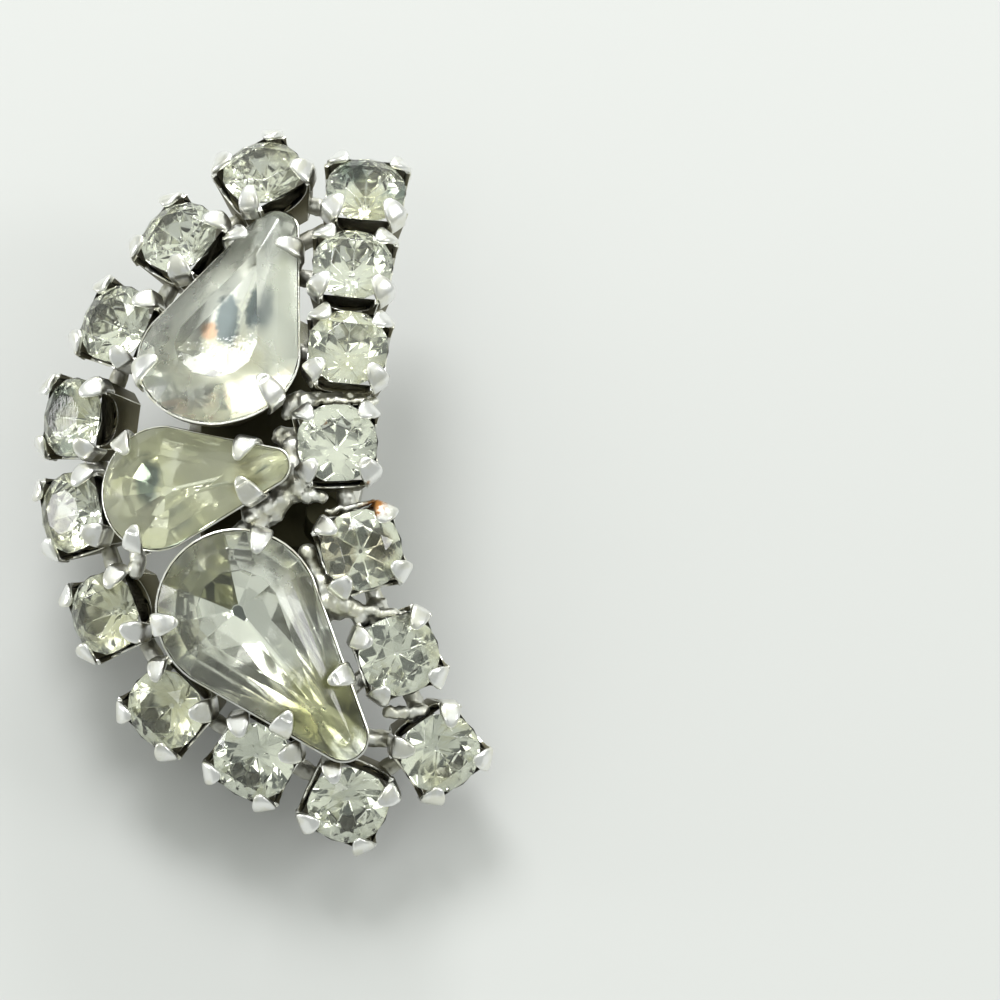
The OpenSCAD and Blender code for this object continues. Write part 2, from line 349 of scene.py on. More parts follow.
def wrap(piece: bpy.types.Object) -> None:
    """Wraps a piece's vertices in one closed skin of flat faces.

    Args:
        piece: the piece, of which only the vertices count.
    """
    pick_points(piece, lambda co: True)
    bpy.ops.mesh.convex_hull(join_triangles=False)
    bpy.ops.mesh.select_all(action="SELECT")
    bpy.ops.mesh.dissolve_limited(angle_limit=math.radians(SAME_PLANE))
    face_outwards()
    bpy.ops.object.mode_set(mode="OBJECT")


def round_edges(
    piece: bpy.types.Object, width: float, degrees: float = METAL_EDGE, segments: int = 2, **more: object
) -> None:
    """Rounds the edges of a piece that are sharper than an angle.

    Args:
        piece: the piece to work on.
        width: how wide the rounding is.
        degrees: the sharpest turn that is left as it is.
        segments: how many faces the rounding has across it.
        more: other values of the bevel.
    """
    limit = math.radians(degrees)
    work(piece, "BEVEL", width=width, segments=segments, limit_method="ANGLE", angle_limit=limit, **more)


def dress(piece: bpy.types.Object, *materials: bpy.types.Material) -> None:
    """Gives a piece these materials and no others.

    Args:
        piece: the piece to dress.
        materials: its materials, the main one first.
    """
    piece.data.materials.clear()
    for material in materials:
        piece.data.materials.append(material)


def bake_place(piece: bpy.types.Object) -> None:
    """Puts a piece's place, turn and scale into its mesh."""
    take(piece)
    bpy.ops.object.transform_apply(location=True, rotation=True, scale=True)


def smooth(piece: bpy.types.Object, degrees: float = 40.0) -> None:
    """Shades a piece smooth, with creases at edges sharper than the angle."""
    take(piece)
    bpy.ops.object.shade_smooth_by_angle(angle=math.radians(degrees))


def remove(pieces: Iterable[bpy.types.Object]) -> None:
    """Clears patterns from the bench."""
    for piece in pieces:
        bpy.data.objects.remove(piece)


def hand_in(piece: bpy.types.Object, nodes: Sequence[str]) -> None:
    """Makes a finished piece part of the object.

    Args:
        piece: the finished piece, in metres.
        nodes: the CAD nodes that the piece stands for.
    """
    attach(piece, BODY)
    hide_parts(*nodes)
    log.info("%s: %d faces", piece.name, len(piece.data.polygons))


class Graph:
    """A node tree while it is being wired."""

    def __init__(self, tree: bpy.types.NodeTree) -> None:
        """Takes an empty or new tree."""
        self.tree = tree

    def add(self, kind: str, **settings: object) -> bpy.types.Node:
        """Adds a node.

        Args:
            kind: the node's type, without ShaderNode in front.
            settings: the node's properties.

        Returns:
            The node.
        """
        prefix = "" if kind.startswith("Node") else "ShaderNode"
        node = self.tree.nodes.new(prefix + kind)
        for key, value in settings.items():
            setattr(node, key, value)
        return node

    def feed(self, socket: bpy.types.NodeSocket, value: object) -> None:
        """Links a socket to an input, or sets the input to a plain value.

        Args:
            socket: the input.
            value: a socket, a number, a place or a colour.
        """
        if isinstance(value, bpy.types.NodeSocket):
            self.tree.links.new(value, socket)
        else:
            socket.default_value = value

    def math(self, operation: str, a: object, b: object = 0.0) -> bpy.types.NodeSocket:
        """Works out a sum on two values.

        Args:
            operation: Blender's name of the sum.
            a: the first value or socket.
            b: the second one.

        Returns:
            The result.
        """
        node = self.add("Math", operation=operation)
        self.feed(node.inputs[0], a)
        self.feed(node.inputs[1], b)
        return node.outputs[0]

    def ramp(
        self, value: object, low: object, high: object, out: Sequence[float] = (0.0, 1.0)
    ) -> bpy.types.NodeSocket:
        """Maps a value smoothly from one range to another.

        Args:
            value: what is mapped.
            low: the value that gives out's first number.
            high: the value that gives out's second number.
            out: the range that comes out.

        Returns:
            The mapped value.
        """
        node = self.add("MapRange", interpolation_type="SMOOTHSTEP")
        keys = ("Value", "From Min", "From Max", "To Min", "To Max")
        for key, given in zip(keys, (value, low, high, *out)):
            self.feed(node.inputs[key], given)
        return node.outputs["Result"]

    def blend(self, share: object, a: object, b: object) -> bpy.types.NodeSocket:
        """Blends two colours.

        Args:
            share: 0 for the first colour, and 1 for the second.
            a: the first colour.
            b: the second colour.

        Returns:
            The blended colour.
        """
        node = self.add("Mix", data_type="RGBA")
        self.feed(node.inputs[0], share)
        self.feed(node.inputs[6], a)
        self.feed(node.inputs[7], b)
        return node.outputs[2]

    def noise(
        self, scale: object, detail: float = 3.0, place: object = None, seed: float = 0.0
    ) -> bpy.types.NodeSocket:
        """Returns a cloudy value round 0.5.

        Args:
            scale: waves in a metre.
            detail: how many finer layers there are.
            place: coordinates, or None for the object's own.
            seed: moves the pattern.

        Returns:
            The value.
        """
        node = self.add("TexNoise", noise_dimensions="4D")
        self.feed(node.inputs["Vector"], place or self.place())
        self.feed(node.inputs["Scale"], scale)
        self.feed(node.inputs["Detail"], detail)
        self.feed(node.inputs["W"], seed)
        return node.outputs["Fac"]

    def place(self) -> bpy.types.NodeSocket:
        """Returns the object's own coordinates."""
        return self.add("TexCoord").outputs["Object"]

    def use(self, group: bpy.types.NodeTree, **values: object) -> bpy.types.Node:
        """Places a node group with its own values.

        Args:
            group: the group.
            values: its inputs, with _ for a space in a name.

        Returns:
            The group's node.
        """
        node = self.add("Group", node_tree=group)
        for key, value in values.items():
            self.feed(node.inputs[key.replace("_", " ")], value)
        return node


def new_group(
    name: str, inputs: dict[str, object], outputs: Sequence[str]
) -> tuple[Graph, dict[str, bpy.types.NodeSocket], bpy.types.Node]:
    """Starts a shader node group.

    Args:
        name: the group's name.
        inputs: the inputs' names and first values, a number or three.
        outputs: the names of the numbers that come out.

    Returns:
        The graph, the inputs' sockets by name, and the node that takes the outputs.
    """
    tree = bpy.data.node_groups.new(name, "ShaderNodeTree")
    for key, value in inputs.items():
        kind = "NodeSocketFloat" if isinstance(value, float) else "NodeSocketVector"
        tree.interface.new_socket(key, in_out="INPUT", socket_type=kind).default_value = value
    for key in outputs:
        tree.interface.new_socket(key, in_out="OUTPUT", socket_type="NodeSocketFloat")
    graph = Graph(tree)
    source = graph.add("NodeGroupInput")
    return graph, {s.name: s for s in source.outputs if s.name}, graph.add("NodeGroupOutput")


def depth_group() -> bpy.types.NodeTree:
    """Makes the group that says how deep a point lies below the dome of the stones.

    Returns:
        A group with From and To in metres, and Mask, which is 0 above From and 1 below To.
    """
    graph, given, out = new_group("depth_in_setting", {"From": 0.0, "To": 0.001}, ["Mask"])
    patch_waves, patch_depth = 900.0, 0.0012
    parts = graph.add("SeparateXYZ")
    graph.feed(parts.inputs[0], graph.place())
    x = graph.math("SUBTRACT", parts.outputs[0], DOME.crown_x * METRE)
    y = graph.math("SUBTRACT", parts.outputs[1], DOME.crown_y * METRE)
    across = graph.math("MULTIPLY", graph.math("MULTIPLY", x, x), 1 / (2 * DOME.radius_across * METRE))
    along = graph.math("MULTIPLY", graph.math("MULTIPLY", y, y), 1 / (2 * DOME.radius_along * METRE))
    height = graph.math("ADD", graph.math("ADD", across, along), parts.outputs[2])
    depth = graph.math("SUBTRACT", DOME.top * METRE, height)
    patchy = graph.math("SUBTRACT", graph.noise(patch_waves), 0.5)
    patchy = graph.math("MULTIPLY", patchy, patch_depth)
    # Metal finishes darken by this mask: patina, and painted shade in the recesses
    graph.feed(out.inputs["Mask"], graph.ramp(graph.math("ADD", depth, patchy), given["From"], given["To"]))
    return graph.tree


def cloud_group() -> bpy.types.NodeTree:
    """Makes the group for patches of yellow film, haze and aged foil.

    Returns:
        A group with Scale, Cover and Seed, and Mask, which is 1 in the patches.
    """
    graph, given, out = new_group("clouds", {"Scale": 500.0, "Cover": 0.5, "Seed": 0.0}, ["Mask"])
    # The value that a patch has to reach at no cover, how far full cover lowers it, and half an edge
    uncovered, lowered, soft = 0.75, 0.5, 0.09
    value = graph.noise(given["Scale"], 5.0, seed=given["Seed"])
    level = graph.math("SUBTRACT", uncovered, graph.math("MULTIPLY", given["Cover"], lowered))
    low = graph.math("SUBTRACT", level, soft)
    high = graph.math("ADD", level, soft)
    graph.feed(out.inputs["Mask"], graph.ramp(value, low, high))
    return graph.tree


def scuff_group() -> bpy.types.NodeTree:
    """Makes the group for the hairlines and rubbed spots of an old surface.

    Returns:
        A group with Scale, and Height of the surface for a Bump node.
    """
    graph, given, out = new_group("scuffs", {"Scale": 1.0}, ["Height"])
    line_waves, line_share, lump_waves = 16000.0, 0.35, 2500.0
    stretched = graph.add("Mapping")
    graph.feed(stretched.inputs["Vector"], graph.place())
    stretched.inputs["Scale"].default_value = (1.0, 0.12, 1.0)
    stretched.inputs["Rotation"].default_value = (0.0, 0.0, 0.6)
    fine = graph.math("MULTIPLY", given["Scale"], line_waves)
    lines = graph.noise(fine, 2.0, stretched.outputs["Vector"])
    lumps = graph.noise(graph.math("MULTIPLY", given["Scale"], lump_waves))
    total = graph.math("ADD", graph.math("MULTIPLY", lines, line_share), lumps)
    graph.feed(out.inputs["Height"], total)
    return graph.tree


def spot_group() -> bpy.types.NodeTree:
    """Makes the group for one spot round a point, used for rust, for stained foil and for painted dark
    reflections.

    Returns:
        A group with Centre and Radius in metres, Squeeze for each axis, Ragged for its outline, Core
        for the share of the radius that is fully stained, and Mask, which is 1 in the spot.
    """
    first = {
        "Centre": (0.0, 0.0, 0.0),
        "Radius": 0.0005,
        "Squeeze": (1.0, 1.0, 1.0),
        "Ragged": 1.4,
        "Core": 0.55,
    }
    graph, given, out = new_group("spot", first, ["Mask"])
    ragged_waves, even = 2200.0, 0.7
    apart = graph.add("VectorMath", operation="SUBTRACT")
    graph.feed(apart.inputs[0], graph.place())
    graph.feed(apart.inputs[1], given["Centre"])
    squeezed = graph.add("VectorMath", operation="MULTIPLY")
    graph.feed(squeezed.inputs[0], apart.outputs[0])
    graph.feed(squeezed.inputs[1], given["Squeeze"])
    away = graph.add("VectorMath", operation="LENGTH")
    graph.feed(away.inputs[0], squeezed.outputs[0])
    ragged = graph.math("SUBTRACT", graph.noise(ragged_waves), 0.5)
    ragged = graph.math("MULTIPLY", ragged, given["Ragged"])
    share = graph.math("DIVIDE", away.outputs["Value"], given["Radius"])
    share = graph.math("MULTIPLY", share, graph.math("ADD", ragged, even))
    graph.feed(out.inputs["Mask"], graph.ramp(share, 1.0, given["Core"]))
    return graph.tree


class Groups:
    """The effects that several finishes share, each built once."""

    def __init__(self) -> None:
        """Builds the groups."""
        self.depth = depth_group()
        self.clouds = cloud_group()
        self.scuffs = scuff_group()
        self.spot = spot_group()


def new_material(name: str) -> tuple[bpy.types.Material, Graph, bpy.types.Node]:
    """Starts a material.

    Args:
        name: the material's name.

    Returns:
        The material, its graph and its Principled shader.
    """
    material = bpy.data.materials.new(name)
    material.use_nodes = True
    return material, Graph(material.node_tree), material.node_tree.nodes["Principled BSDF"]


def scuff(
    graph: Graph,
    shader: bpy.types.Node,
    group: bpy.types.NodeTree,
    scale: float,
    height: float,
    strength: float,
) -> None:
    """Scuffs the surface of a material.

    Args:
        graph: the material's graph.
        shader: the material's Principled shader.
        group: the group of the scuffs.
        scale: how fine they are.
        height: how high they are, in metres.
        strength: how much of the height shows.
    """
    scuffs = graph.use(group, Scale=scale)
    bump = graph.add("Bump")
    bump.inputs["Distance"].default_value = height
    bump.inputs["Strength"].default_value = strength
    graph.feed(bump.inputs["Height"], scuffs.outputs["Height"])
    graph.feed(shader.inputs["Normal"], bump.outputs[0])


@dataclass(frozen=True)
class PlatedMetal:
    """White plating on brass: bright where it is rubbed, and dark where cloths don't reach, from patina and
    painted shade.

    It is bright down to deep_from under the dome, and from deep_to on as dark as its share of patina and
    painted shade says, in millimetres; the painted shade stands for the shade and dark reflections in the
    recesses between the settings. A film yellows it in patches, and rust spots it beside one stone. Lumps
    is the height of its unevenness in metres.
    """

    name: str
    bright: Colour = (0.88, 0.88, 0.84, 1.0)
    film: Colour = (0.66, 0.64, 0.44, 1.0)
    # The colour deep in the setting: patina, and painted shade in the recesses
    patina_and_shade_colour: Colour = (0.13, 0.115, 0.06, 1.0)
    rust: Colour = (0.36, 0.17, 0.05, 1.0)
    rust_middle: Place = (5.8, -2.5, 11.3)
    rust_radius: float = 0.6
    rust_rough: float = 0.7
    roughness: float = 0.20
    tarnish_rough: float = 0.3
    deep_from: float = 0.4
    deep_to: float = 2.4
    patina_and_shade_share: float = 0.75
    filmed: float = 0.5
    film_waves: float = 1100.0
    film_cover: float = 0.45
    film_seed: float = 2.0
    lumps: float = 0.00002

    def build(self, groups: Groups) -> bpy.types.Material:
        """Makes the material.

        Args:
            groups: the shared effects.

        Returns:
            The material.
        """
        material, graph, shader = new_material(self.name)
        # Depth under the dome darkens the plating: patina, and painted shade where the settings shade each
        # other
        depth = graph.use(groups.depth, From=self.deep_from * METRE, To=self.deep_to * METRE)
        patches = graph.use(groups.clouds, Scale=self.film_waves, Cover=self.film_cover, Seed=self.film_seed)
        share = graph.math("MULTIPLY", depth.outputs["Mask"], self.patina_and_shade_share)
        filmed = graph.math("MULTIPLY", patches.outputs["Mask"], self.filmed)
        centre = Vector(self.rust_middle) * METRE
        rust = graph.use(groups.spot, Centre=centre, Radius=self.rust_radius * METRE)
        colour = graph.blend(share, graph.blend(filmed, self.bright, self.film), self.patina_and_shade_colour)
        colour = graph.blend(rust.outputs["Mask"], colour, self.rust)
        graph.feed(shader.inputs["Base Color"], colour)
        rough = graph.ramp(share, 0.0, 1.0, (self.roughness, self.roughness + self.tarnish_rough))
        rusted = graph.math("MULTIPLY", rust.outputs["Mask"], self.rust_rough)
        rough = graph.math("MAXIMUM", rough, rusted)
        graph.feed(shader.inputs["Roughness"], rough)
        shader.inputs["Metallic"].default_value = 1.0
        scuff(graph, shader, groups.scuffs, 0.8, self.lumps, 0.6)
        return material


# The metal of each part, under the names that Palette has for them
METALS: dict[str, PlatedMetal] = {
    # The basket walls are painted dark nearly all over: painted shade and dark reflection, with some patina
    "setting": PlatedMetal("plated_setting", deep_from=-2.5, deep_to=0.7, patina_and_shade_share=0.93),
    "rubbed": PlatedMetal(
        "rubbed_rims", (0.94, 0.94, 0.89, 1.0), roughness=0.18, deep_from=1.6, deep_to=4.0, patina_and_shade_share=0.6
    ),
    "prong": PlatedMetal(
        "plated_prongs",
        (0.95, 0.95, 0.93, 1.0),
        roughness=0.28,
        deep_from=0.3,
        deep_to=1.4,
        patina_and_shade_share=0.8,
        filmed=0.35,
        lumps=0.00003,
    ),
    # The cups are painted nearly black all over: painted shade under the stones
    "cup": PlatedMetal(
        "plated_cups",
        patina_and_shade_colour=(0.07, 0.06, 0.03, 1.0),
        roughness=0.3,
        deep_from=-3.0,
        deep_to=-2.0,
        patina_and_shade_share=0.97,
    ),
    # Deep solder is painted dark: patina, and painted shade between the settings
    "solder": PlatedMetal(
        "solder",
        (0.92, 0.92, 0.86, 1.0),
        roughness=0.42,
        deep_from=1.3,
        deep_to=3.0,
        patina_and_shade_share=0.8,
        lumps=0.00006,
    ),
    # The bridge under the crescent is painted nearly black: painted shade, with some patina
    "bridge": PlatedMetal(
        "plated_bridge",
        patina_and_shade_colour=(0.07, 0.065, 0.03, 1.0),
        roughness=0.35,
        deep_from=-1.0,
        deep_to=1.0,
        patina_and_shade_share=0.97,
    ),
    "clip": PlatedMetal("plated_clip", deep_from=7.0, deep_to=12.0, patina_and_shade_share=0.25),
}


@dataclass(frozen=True)
class CutGlass:
    """The clear glass of a stone's crown.

    Frost is its roughness all over, haze what patches add to it, and scuffs their height in metres.
    """

    name: str
    colour: Colour = (0.975, 0.995, 0.935, 1.0)
    frost: float = 0.0
    haze: float = 0.05
    scuffs: float = 0.000005
    index: float = 1.56
    gloss: float = 0.8
    haze_waves: float = 450.0
    haze_cover: float = 0.4
    haze_seed: float = 5.0

    def build(self, groups: Groups) -> bpy.types.Material:
        """Makes the material.

        Args:
            groups: the shared effects.

        Returns:
            The material.
        """
        material, graph, shader = new_material(self.name)
        shader.inputs["Base Color"].default_value = self.colour
        shader.inputs["IOR"].default_value = self.index
        shader.inputs["Specular IOR Level"].default_value = self.gloss
        shader.inputs["Transmission Weight"].default_value = 1.0
        patches = graph.use(groups.clouds, Scale=self.haze_waves, Cover=self.haze_cover, Seed=self.haze_seed)
        rough = graph.ramp(patches.outputs["Mask"], 0.0, 1.0, (self.frost, self.frost + self.haze))
        graph.feed(shader.inputs["Roughness"], rough)
        scuff(graph, shader, groups.scuffs, 0.6, self.scuffs, 0.5)
        return material


class FoilSpotOrPaintedReflection(NamedTuple):
    """A spot on the foil, stained or painted as a dark reflection: its middle and radius in millimetres, its
    colour, its edge and its shape.
    """

    middle: Place
    radius: float
    colour: Colour
    ragged: float = 1.4
    core: float = 0.55
    squeeze: Place = (1.0, 1.0, 1.0)


@dataclass(frozen=True)
class Foil:
    """The mirror foil on a stone's back, aged in patches, and stained or painted with dark reflections in
    spots.
    """

    name: str
    colour: Colour = (0.95, 0.96, 0.91, 1.0)
    aged: Colour = (0.84, 0.83, 0.67, 1.0)
    cover: float = 0.35
    roughness: float = 0.13
    rough_patch: float = 0.30
    metal: float = 1.0
    spots: tuple[FoilSpotOrPaintedReflection, ...] = ()
    patch_waves: float = 330.0
    patch_seed: float = 1.0

    def build(self, groups: Groups) -> bpy.types.Material:
        """Makes the material.

        Args:
            groups: the shared effects.

        Returns:
            The material.
        """
        material, graph, shader = new_material(self.name)
        patches = graph.use(groups.clouds, Scale=self.patch_waves, Cover=self.cover, Seed=self.patch_seed)
        colour = graph.blend(patches.outputs["Mask"], self.colour, self.aged)
        # Each spot is a stained patch, or a dark reflection painted on the foil
        for spot in self.spots:
            middle = Vector(spot.middle) * METRE
            foil_mark = graph.use(groups.spot, Centre=middle, Radius=spot.radius * METRE)
            foil_mark.inputs["Ragged"].default_value = spot.ragged
            foil_mark.inputs["Core"].default_value = spot.core
            foil_mark.inputs["Squeeze"].default_value = spot.squeeze
            colour = graph.blend(foil_mark.outputs["Mask"], colour, spot.colour)
        graph.feed(shader.inputs["Base Color"], colour)
        rough = graph.ramp(patches.outputs["Mask"], 0.0, 1.0, (self.roughness, self.rough_patch))
        graph.feed(shader.inputs["Roughness"], rough)
        shader.inputs["Metallic"].default_value = self.metal
        return material


@dataclass(frozen=True)
class PearFinish:
    """The materials of one pear stone: its crown, the rubbed, frosted facets round the table, and its foil.
    """

    glass: bpy.types.Material
    frosted: bpy.types.Material
    foil: bpy.types.Material


@dataclass(frozen=True)
class Palette:
    """The finished materials, by what they are for."""

    setting: bpy.types.Material
    rubbed: bpy.types.Material
    prong: bpy.types.Material
    cup: bpy.types.Material
    solder: bpy.types.Material
    bridge: bpy.types.Material
    clip: bpy.types.Material
    glass: bpy.types.Material
    round_foil: bpy.types.Material
    pears: dict[str, PearFinish]


def mix_palette() -> Palette:
    """Builds every finish.

    Returns:
        The finished materials.
    """
    groups = Groups()
    aged_colour = (0.97, 0.99, 0.88, 1.0)
    # Grey-blue for facets painted dark, as painted reflections of dark surroundings
    dark_reflection_colour = (0.24, 0.28, 0.30, 1.0)
    peach = FoilSpotOrPaintedReflection((-2.25, 6.4, 10.3), 0.42, (0.84, 0.56, 0.40, 1.0), 0.6)
    tip = FoilSpotOrPaintedReflection((3.1, -11.4, 7.9), 1.9, (0.42, 0.42, 0.26, 1.0), 0.8)
    # Two kite facets of the top pear, painted grey-blue: painted dark reflections on the foil
    painted_dark_reflections = (
        FoilSpotOrPaintedReflection((-1.42, 7.0, 10.0), 0.50, dark_reflection_colour, 0.7, 0.62, (1.0, 0.40, 1.0)),
        FoilSpotOrPaintedReflection((0.05, 7.4, 10.1), 0.48, dark_reflection_colour, 0.7, 0.62, (1.0, 0.38, 1.0)),
    )
    brown = FoilSpotOrPaintedReflection((5.9, -3.9, 9.7), 0.75, (0.52, 0.48, 0.38, 1.0), 1.0, 0.3)
    murky = (
        FoilSpotOrPaintedReflection((4.5, 15.4, 9.9), 0.8, (0.32, 0.39, 0.37, 1.0), 1.0, 0.3),
        FoilSpotOrPaintedReflection((-9.6, 4.7, 6.9), 0.8, (0.36, 0.40, 0.37, 1.0), 1.0, 0.3),
    )
    # An olive patch toward the middle pear's tip, which is aged foil, and a grey-blue facet by its round end,
    # which is a painted dark reflection
    aged_tip_and_dark_reflection = (
        FoilSpotOrPaintedReflection((0.7, -0.8, 10.3), 1.5, (0.52, 0.48, 0.27, 1.0), 0.3, 0.5),
        FoilSpotOrPaintedReflection((-5.0, -0.3, 9.0), 0.62, (0.26, 0.31, 0.30, 1.0), 0.5, 0.45, (1.0, 0.5, 1.0)),
    )
    silver, pale = (1.0, 1.0, 0.87, 1.0), (1.0, 1.0, 0.76, 1.0)
    pears = {
        "top": PearFinish(
            CutGlass("pear_glass_top", haze=0.02, scuffs=0.000002).build(groups),
            CutGlass("frosted_top", frost=0.26, haze=0.2, scuffs=0.000014).build(groups),
            Foil(
                "foil_top",
                (0.91, 0.92, 0.88, 1.0),
                roughness=0.12,
                rough_patch=0.26,
                metal=0.92,
                spots=(peach, *painted_dark_reflections),
            ).build(groups),
        ),
        "middle": PearFinish(
            CutGlass("pear_glass_middle", aged_colour, haze=0.04, scuffs=0.000006).build(groups),
            CutGlass("frosted_middle", aged_colour, frost=0.10, haze=0.10, scuffs=0.000004).build(groups),
            Foil("foil_middle", silver, pale, 0.4, 0.03, 0.10, 0.60, aged_tip_and_dark_reflection).build(groups),
        ),
        "bottom": PearFinish(
            CutGlass("pear_glass_bottom", haze=0.04, scuffs=0.000006).build(groups),
            CutGlass("frosted_bottom", frost=0.12, haze=0.16, scuffs=0.000008).build(groups),
            Foil("foil_bottom", roughness=0.03, rough_patch=0.10, metal=0.88, spots=(tip,)).build(groups),
        ),
    }
    return Palette(
        **{part: metal.build(groups) for part, metal in METALS.items()},
        glass=CutGlass("glass_clear").build(groups),
        round_foil=Foil(
            "foil_round", roughness=0.04, rough_patch=0.14, metal=0.87, spots=(brown, *murky)
        ).build(groups),
        pears=pears,
    )


def ring(radius: float, z: float, count: int, turn: float = 0.0, y: float = 0.0) -> None:
    """Adds a ring of vertices, to the piece that is open or as a new one.

    Args:
        radius: its radius.
        z: its height.
        count: how many vertices it has.
        turn: how far it is turned, in degrees.
        y: how far its middle is up the y axis.
    """
    bpy.ops.mesh.primitive_circle_add(
        vertices=count, radius=radius, location=(0, y, z), rotation=(0, 0, math.radians(turn))
    )


def facet(
    piece: bpy.types.Object,
    glass: bpy.types.Material,
    foil: bpy.types.Material,
    wear: float,
    edge: bpy.types.Material | None = None,
) -> None:
    """Wraps rings of vertices in flat facets and foils the back.

    Args:
        piece: the rings.
        glass: the material of the crown.
        foil: the material of the back.
        wear: how far the edges between facets are rubbed down.
        edge: the material of the facets round the table, where it isn't the crown's.
    """
    wrap(piece)
    round_edges(piece, wear, FACET_EDGE, 1)
    dress(piece, glass, foil, edge or glass)
    back, table = -0.05, 0.97
    for face in piece.data.polygons:
        if face.normal.z < back and face.center.z < 0:
            face.material_index = 1
        elif face.normal.z < table:
            face.material_index = 2


@dataclass
class RoundStone:
    """A round foiled stone, cut with an octagonal table.

    Table, star, culet and lower are shares of its radius.
    """

    palette: Palette
    diameter: float = 4.0
    crown: float = 0.65
    pavilion: float = 1.7
    facets: int = 8
    table: float = 0.56
    star: float = 0.80
    culet: float = 0.06
    lower: float = 0.50
    wear: float = 0.02

    def pattern(self) -> bpy.types.Object:
        """Cuts one stone on the bench.

        Returns:
            The stone, in millimetres about its own middle.
        """
        r = self.diameter / 2
        turn = 180 / self.facets
        half = math.cos(math.radians(turn))
        rise = (self.crown - GIRDLE) / (r * (1 - self.table))
        fall = (self.pavilion - GIRDLE) / (r * (1 - self.culet))
        start_work()
        ring(r * self.table, self.crown, self.facets, turn)
        stone = added("round_stone_pattern")
        bake_place(stone)
        edit(stone)
        ring(r * self.star, GIRDLE + r * (1 - self.star * half) * rise, self.facets)
        ring(r, GIRDLE, 2 * self.facets)
        ring(r, -GIRDLE, 2 * self.facets)
        ring(r * self.lower, -GIRDLE - r * (1 - self.lower * half) * fall, self.facets)
        ring(r * self.culet, -self.pavilion, self.facets, turn)
        facet(stone, self.palette.glass, self.palette.round_foil, self.wear)
        return stone

    def make(self) -> None:
        """Cuts the stone once and sets a copy in every basket."""
        pattern = self.pattern()
        for arc, seats in ROWS.items():
            for i, seat in enumerate(seats, 1):
                stone = copy_of(pattern, f"{arc.value}_rhinestone_{i}", TO_METRES @ seat.matrix())
                hand_in(stone, [f"{arc.value}_stone_{i}"])
        remove([pattern])


@dataclass(frozen=True)
class PearShape:
    """A pear stone's outline: its round end about the origin and its tip up the y axis.

    The tip prongs stand at prong_y. Pits lists the pitted prongs, each by its side and its place there.
    """

    name: str
    seat: Seat
    length: float
    width: float
    tip_r: float
    prong_y: float
    tint: Tint
    pits: tuple[tuple[int, int], ...] = ()
    least_tip_r: float = 0.15

    def taper(self) -> float:
        """Returns the sine of the angle between the sides and the y axis."""
        r = self.width / 2
        return (r - self.tip_r) / (self.length - r - self.tip_r)

    def edge(self, y: float) -> float:
        """Finds half the outline's width at a place along it.

        Args:
            y: the place.

        Returns:
            Half the width.
        """
        r = self.width / 2
        taper = self.taper()
        if y < r * taper:
            return math.sqrt(r * r - y * y)
        return (r - y * taper) / math.cos(math.asin(taper))

    def outline(
        self, piece: bpy.types.Object | None, inset: float, z: float, count: int, turn: float = 0.0
    ) -> bpy.types.Object:
        """Adds the outline as two arcs of vertices.

        Args:
            piece: the piece that takes them, or None for a new one.
            inset: how far the outline is moved in.
            z: the outline's height.
            count: vertices in a full turn.
            turn: how far both arcs' rings are turned, in degrees.

        Returns:
            The piece.
        """
        taper = self.taper()
        r = self.width / 2 - inset
        tip = max(self.tip_r - inset, self.least_tip_r)
        tip_y = (r - tip) / taper
        for radius, y, on_tip in ((r, 0.0, False), (tip, tip_y, True)):
            if piece is None:
                start_work()
                ring(radius, z, count, turn, y)
                piece = added(self.name + "_pattern")
                bake_place(piece)
                known = 0
            else:
                known = len(piece.data.vertices)
                edit(piece)
                ring(radius, z, count, turn, y)
                bpy.ops.object.mode_set(mode="OBJECT")
            edit(piece, "VERT")
            bpy.ops.object.mode_set(mode="OBJECT")
            for point in list(piece.data.vertices)[known:]:
                point.select = ((point.co.y - y) / radius > taper) != on_tip
            bpy.ops.object.mode_set(mode="EDIT")
            bpy.ops.mesh.delete(type="VERT")
            bpy.ops.object.mode_set(mode="OBJECT")
        return piece


PEARS = (
    PearShape("top", Seat(-1.9, 5.0, -5, 15, -19), 13.0, 7.8, 1.15, 6.8, Tint.CLEAR, ((0, 0),)),
    PearShape("middle", Seat(-4.8, -1.1, -24, -10, -84), 10.0, 6.0, 0.85, 5.1, Tint.AGED, ((0, 0), (0, 1))),
    PearShape("bottom", Seat(-0.9, -7.2, 2, -20, -140), 13.0, 7.8, 1.15, 5.7, Tint.CLEAR, ((0, 1), (1, 1))),
)


@dataclass
class PearStone:
    """A pear-shaped foiled stone with a small table.

    Heights and insets are shares of its width, and the star's rise and the lower ring's fall are shares
    of the crown and of the pavilion.
    """

    palette: Palette
    crown: float = 0.15
    pavilion: float = 0.30
    table_inset: float = 0.24
    star_inset: float = 0.10
    star_rise: float = 0.60
    lower_inset: float = 0.22
    lower_fall: float = 0.55
    keel_inset: float = 0.46
    facets: int = 12
    keel_facets: int = 8
    wear: float = 0.025

    def make(self) -> None:
        """Cuts and sets the three stones."""
        n = self.facets
        for shape in PEARS:
            w = shape.width
            crown = w * self.crown
            deep = w * self.pavilion
            stone = shape.outline(None, w * self.table_inset, crown, n, 180 / n)
            for inset, z, count in (
                (w * self.star_inset, GIRDLE + (crown - GIRDLE) * self.star_rise, n),
                (0.0, GIRDLE, 2 * n),
                (0.0, -GIRDLE, 2 * n),
                (w * self.lower_inset, -GIRDLE - (deep - GIRDLE) * self.lower_fall, n),
                (w * self.keel_inset, -deep, self.keel_facets),
            ):
                shape.outline(stone, inset, z, count)
            finish = self.palette.pears[shape.name]
            facet(stone, finish.glass, finish.foil, self.wear, finish.frosted)
            stone.data.transform(TO_METRES @ shape.seat.matrix(PEAR_LIFT))
            stone.name = f"pear_rhinestone_{shape.name}"
            hand_in(stone, [f"pear_stone_{shape.name}"])


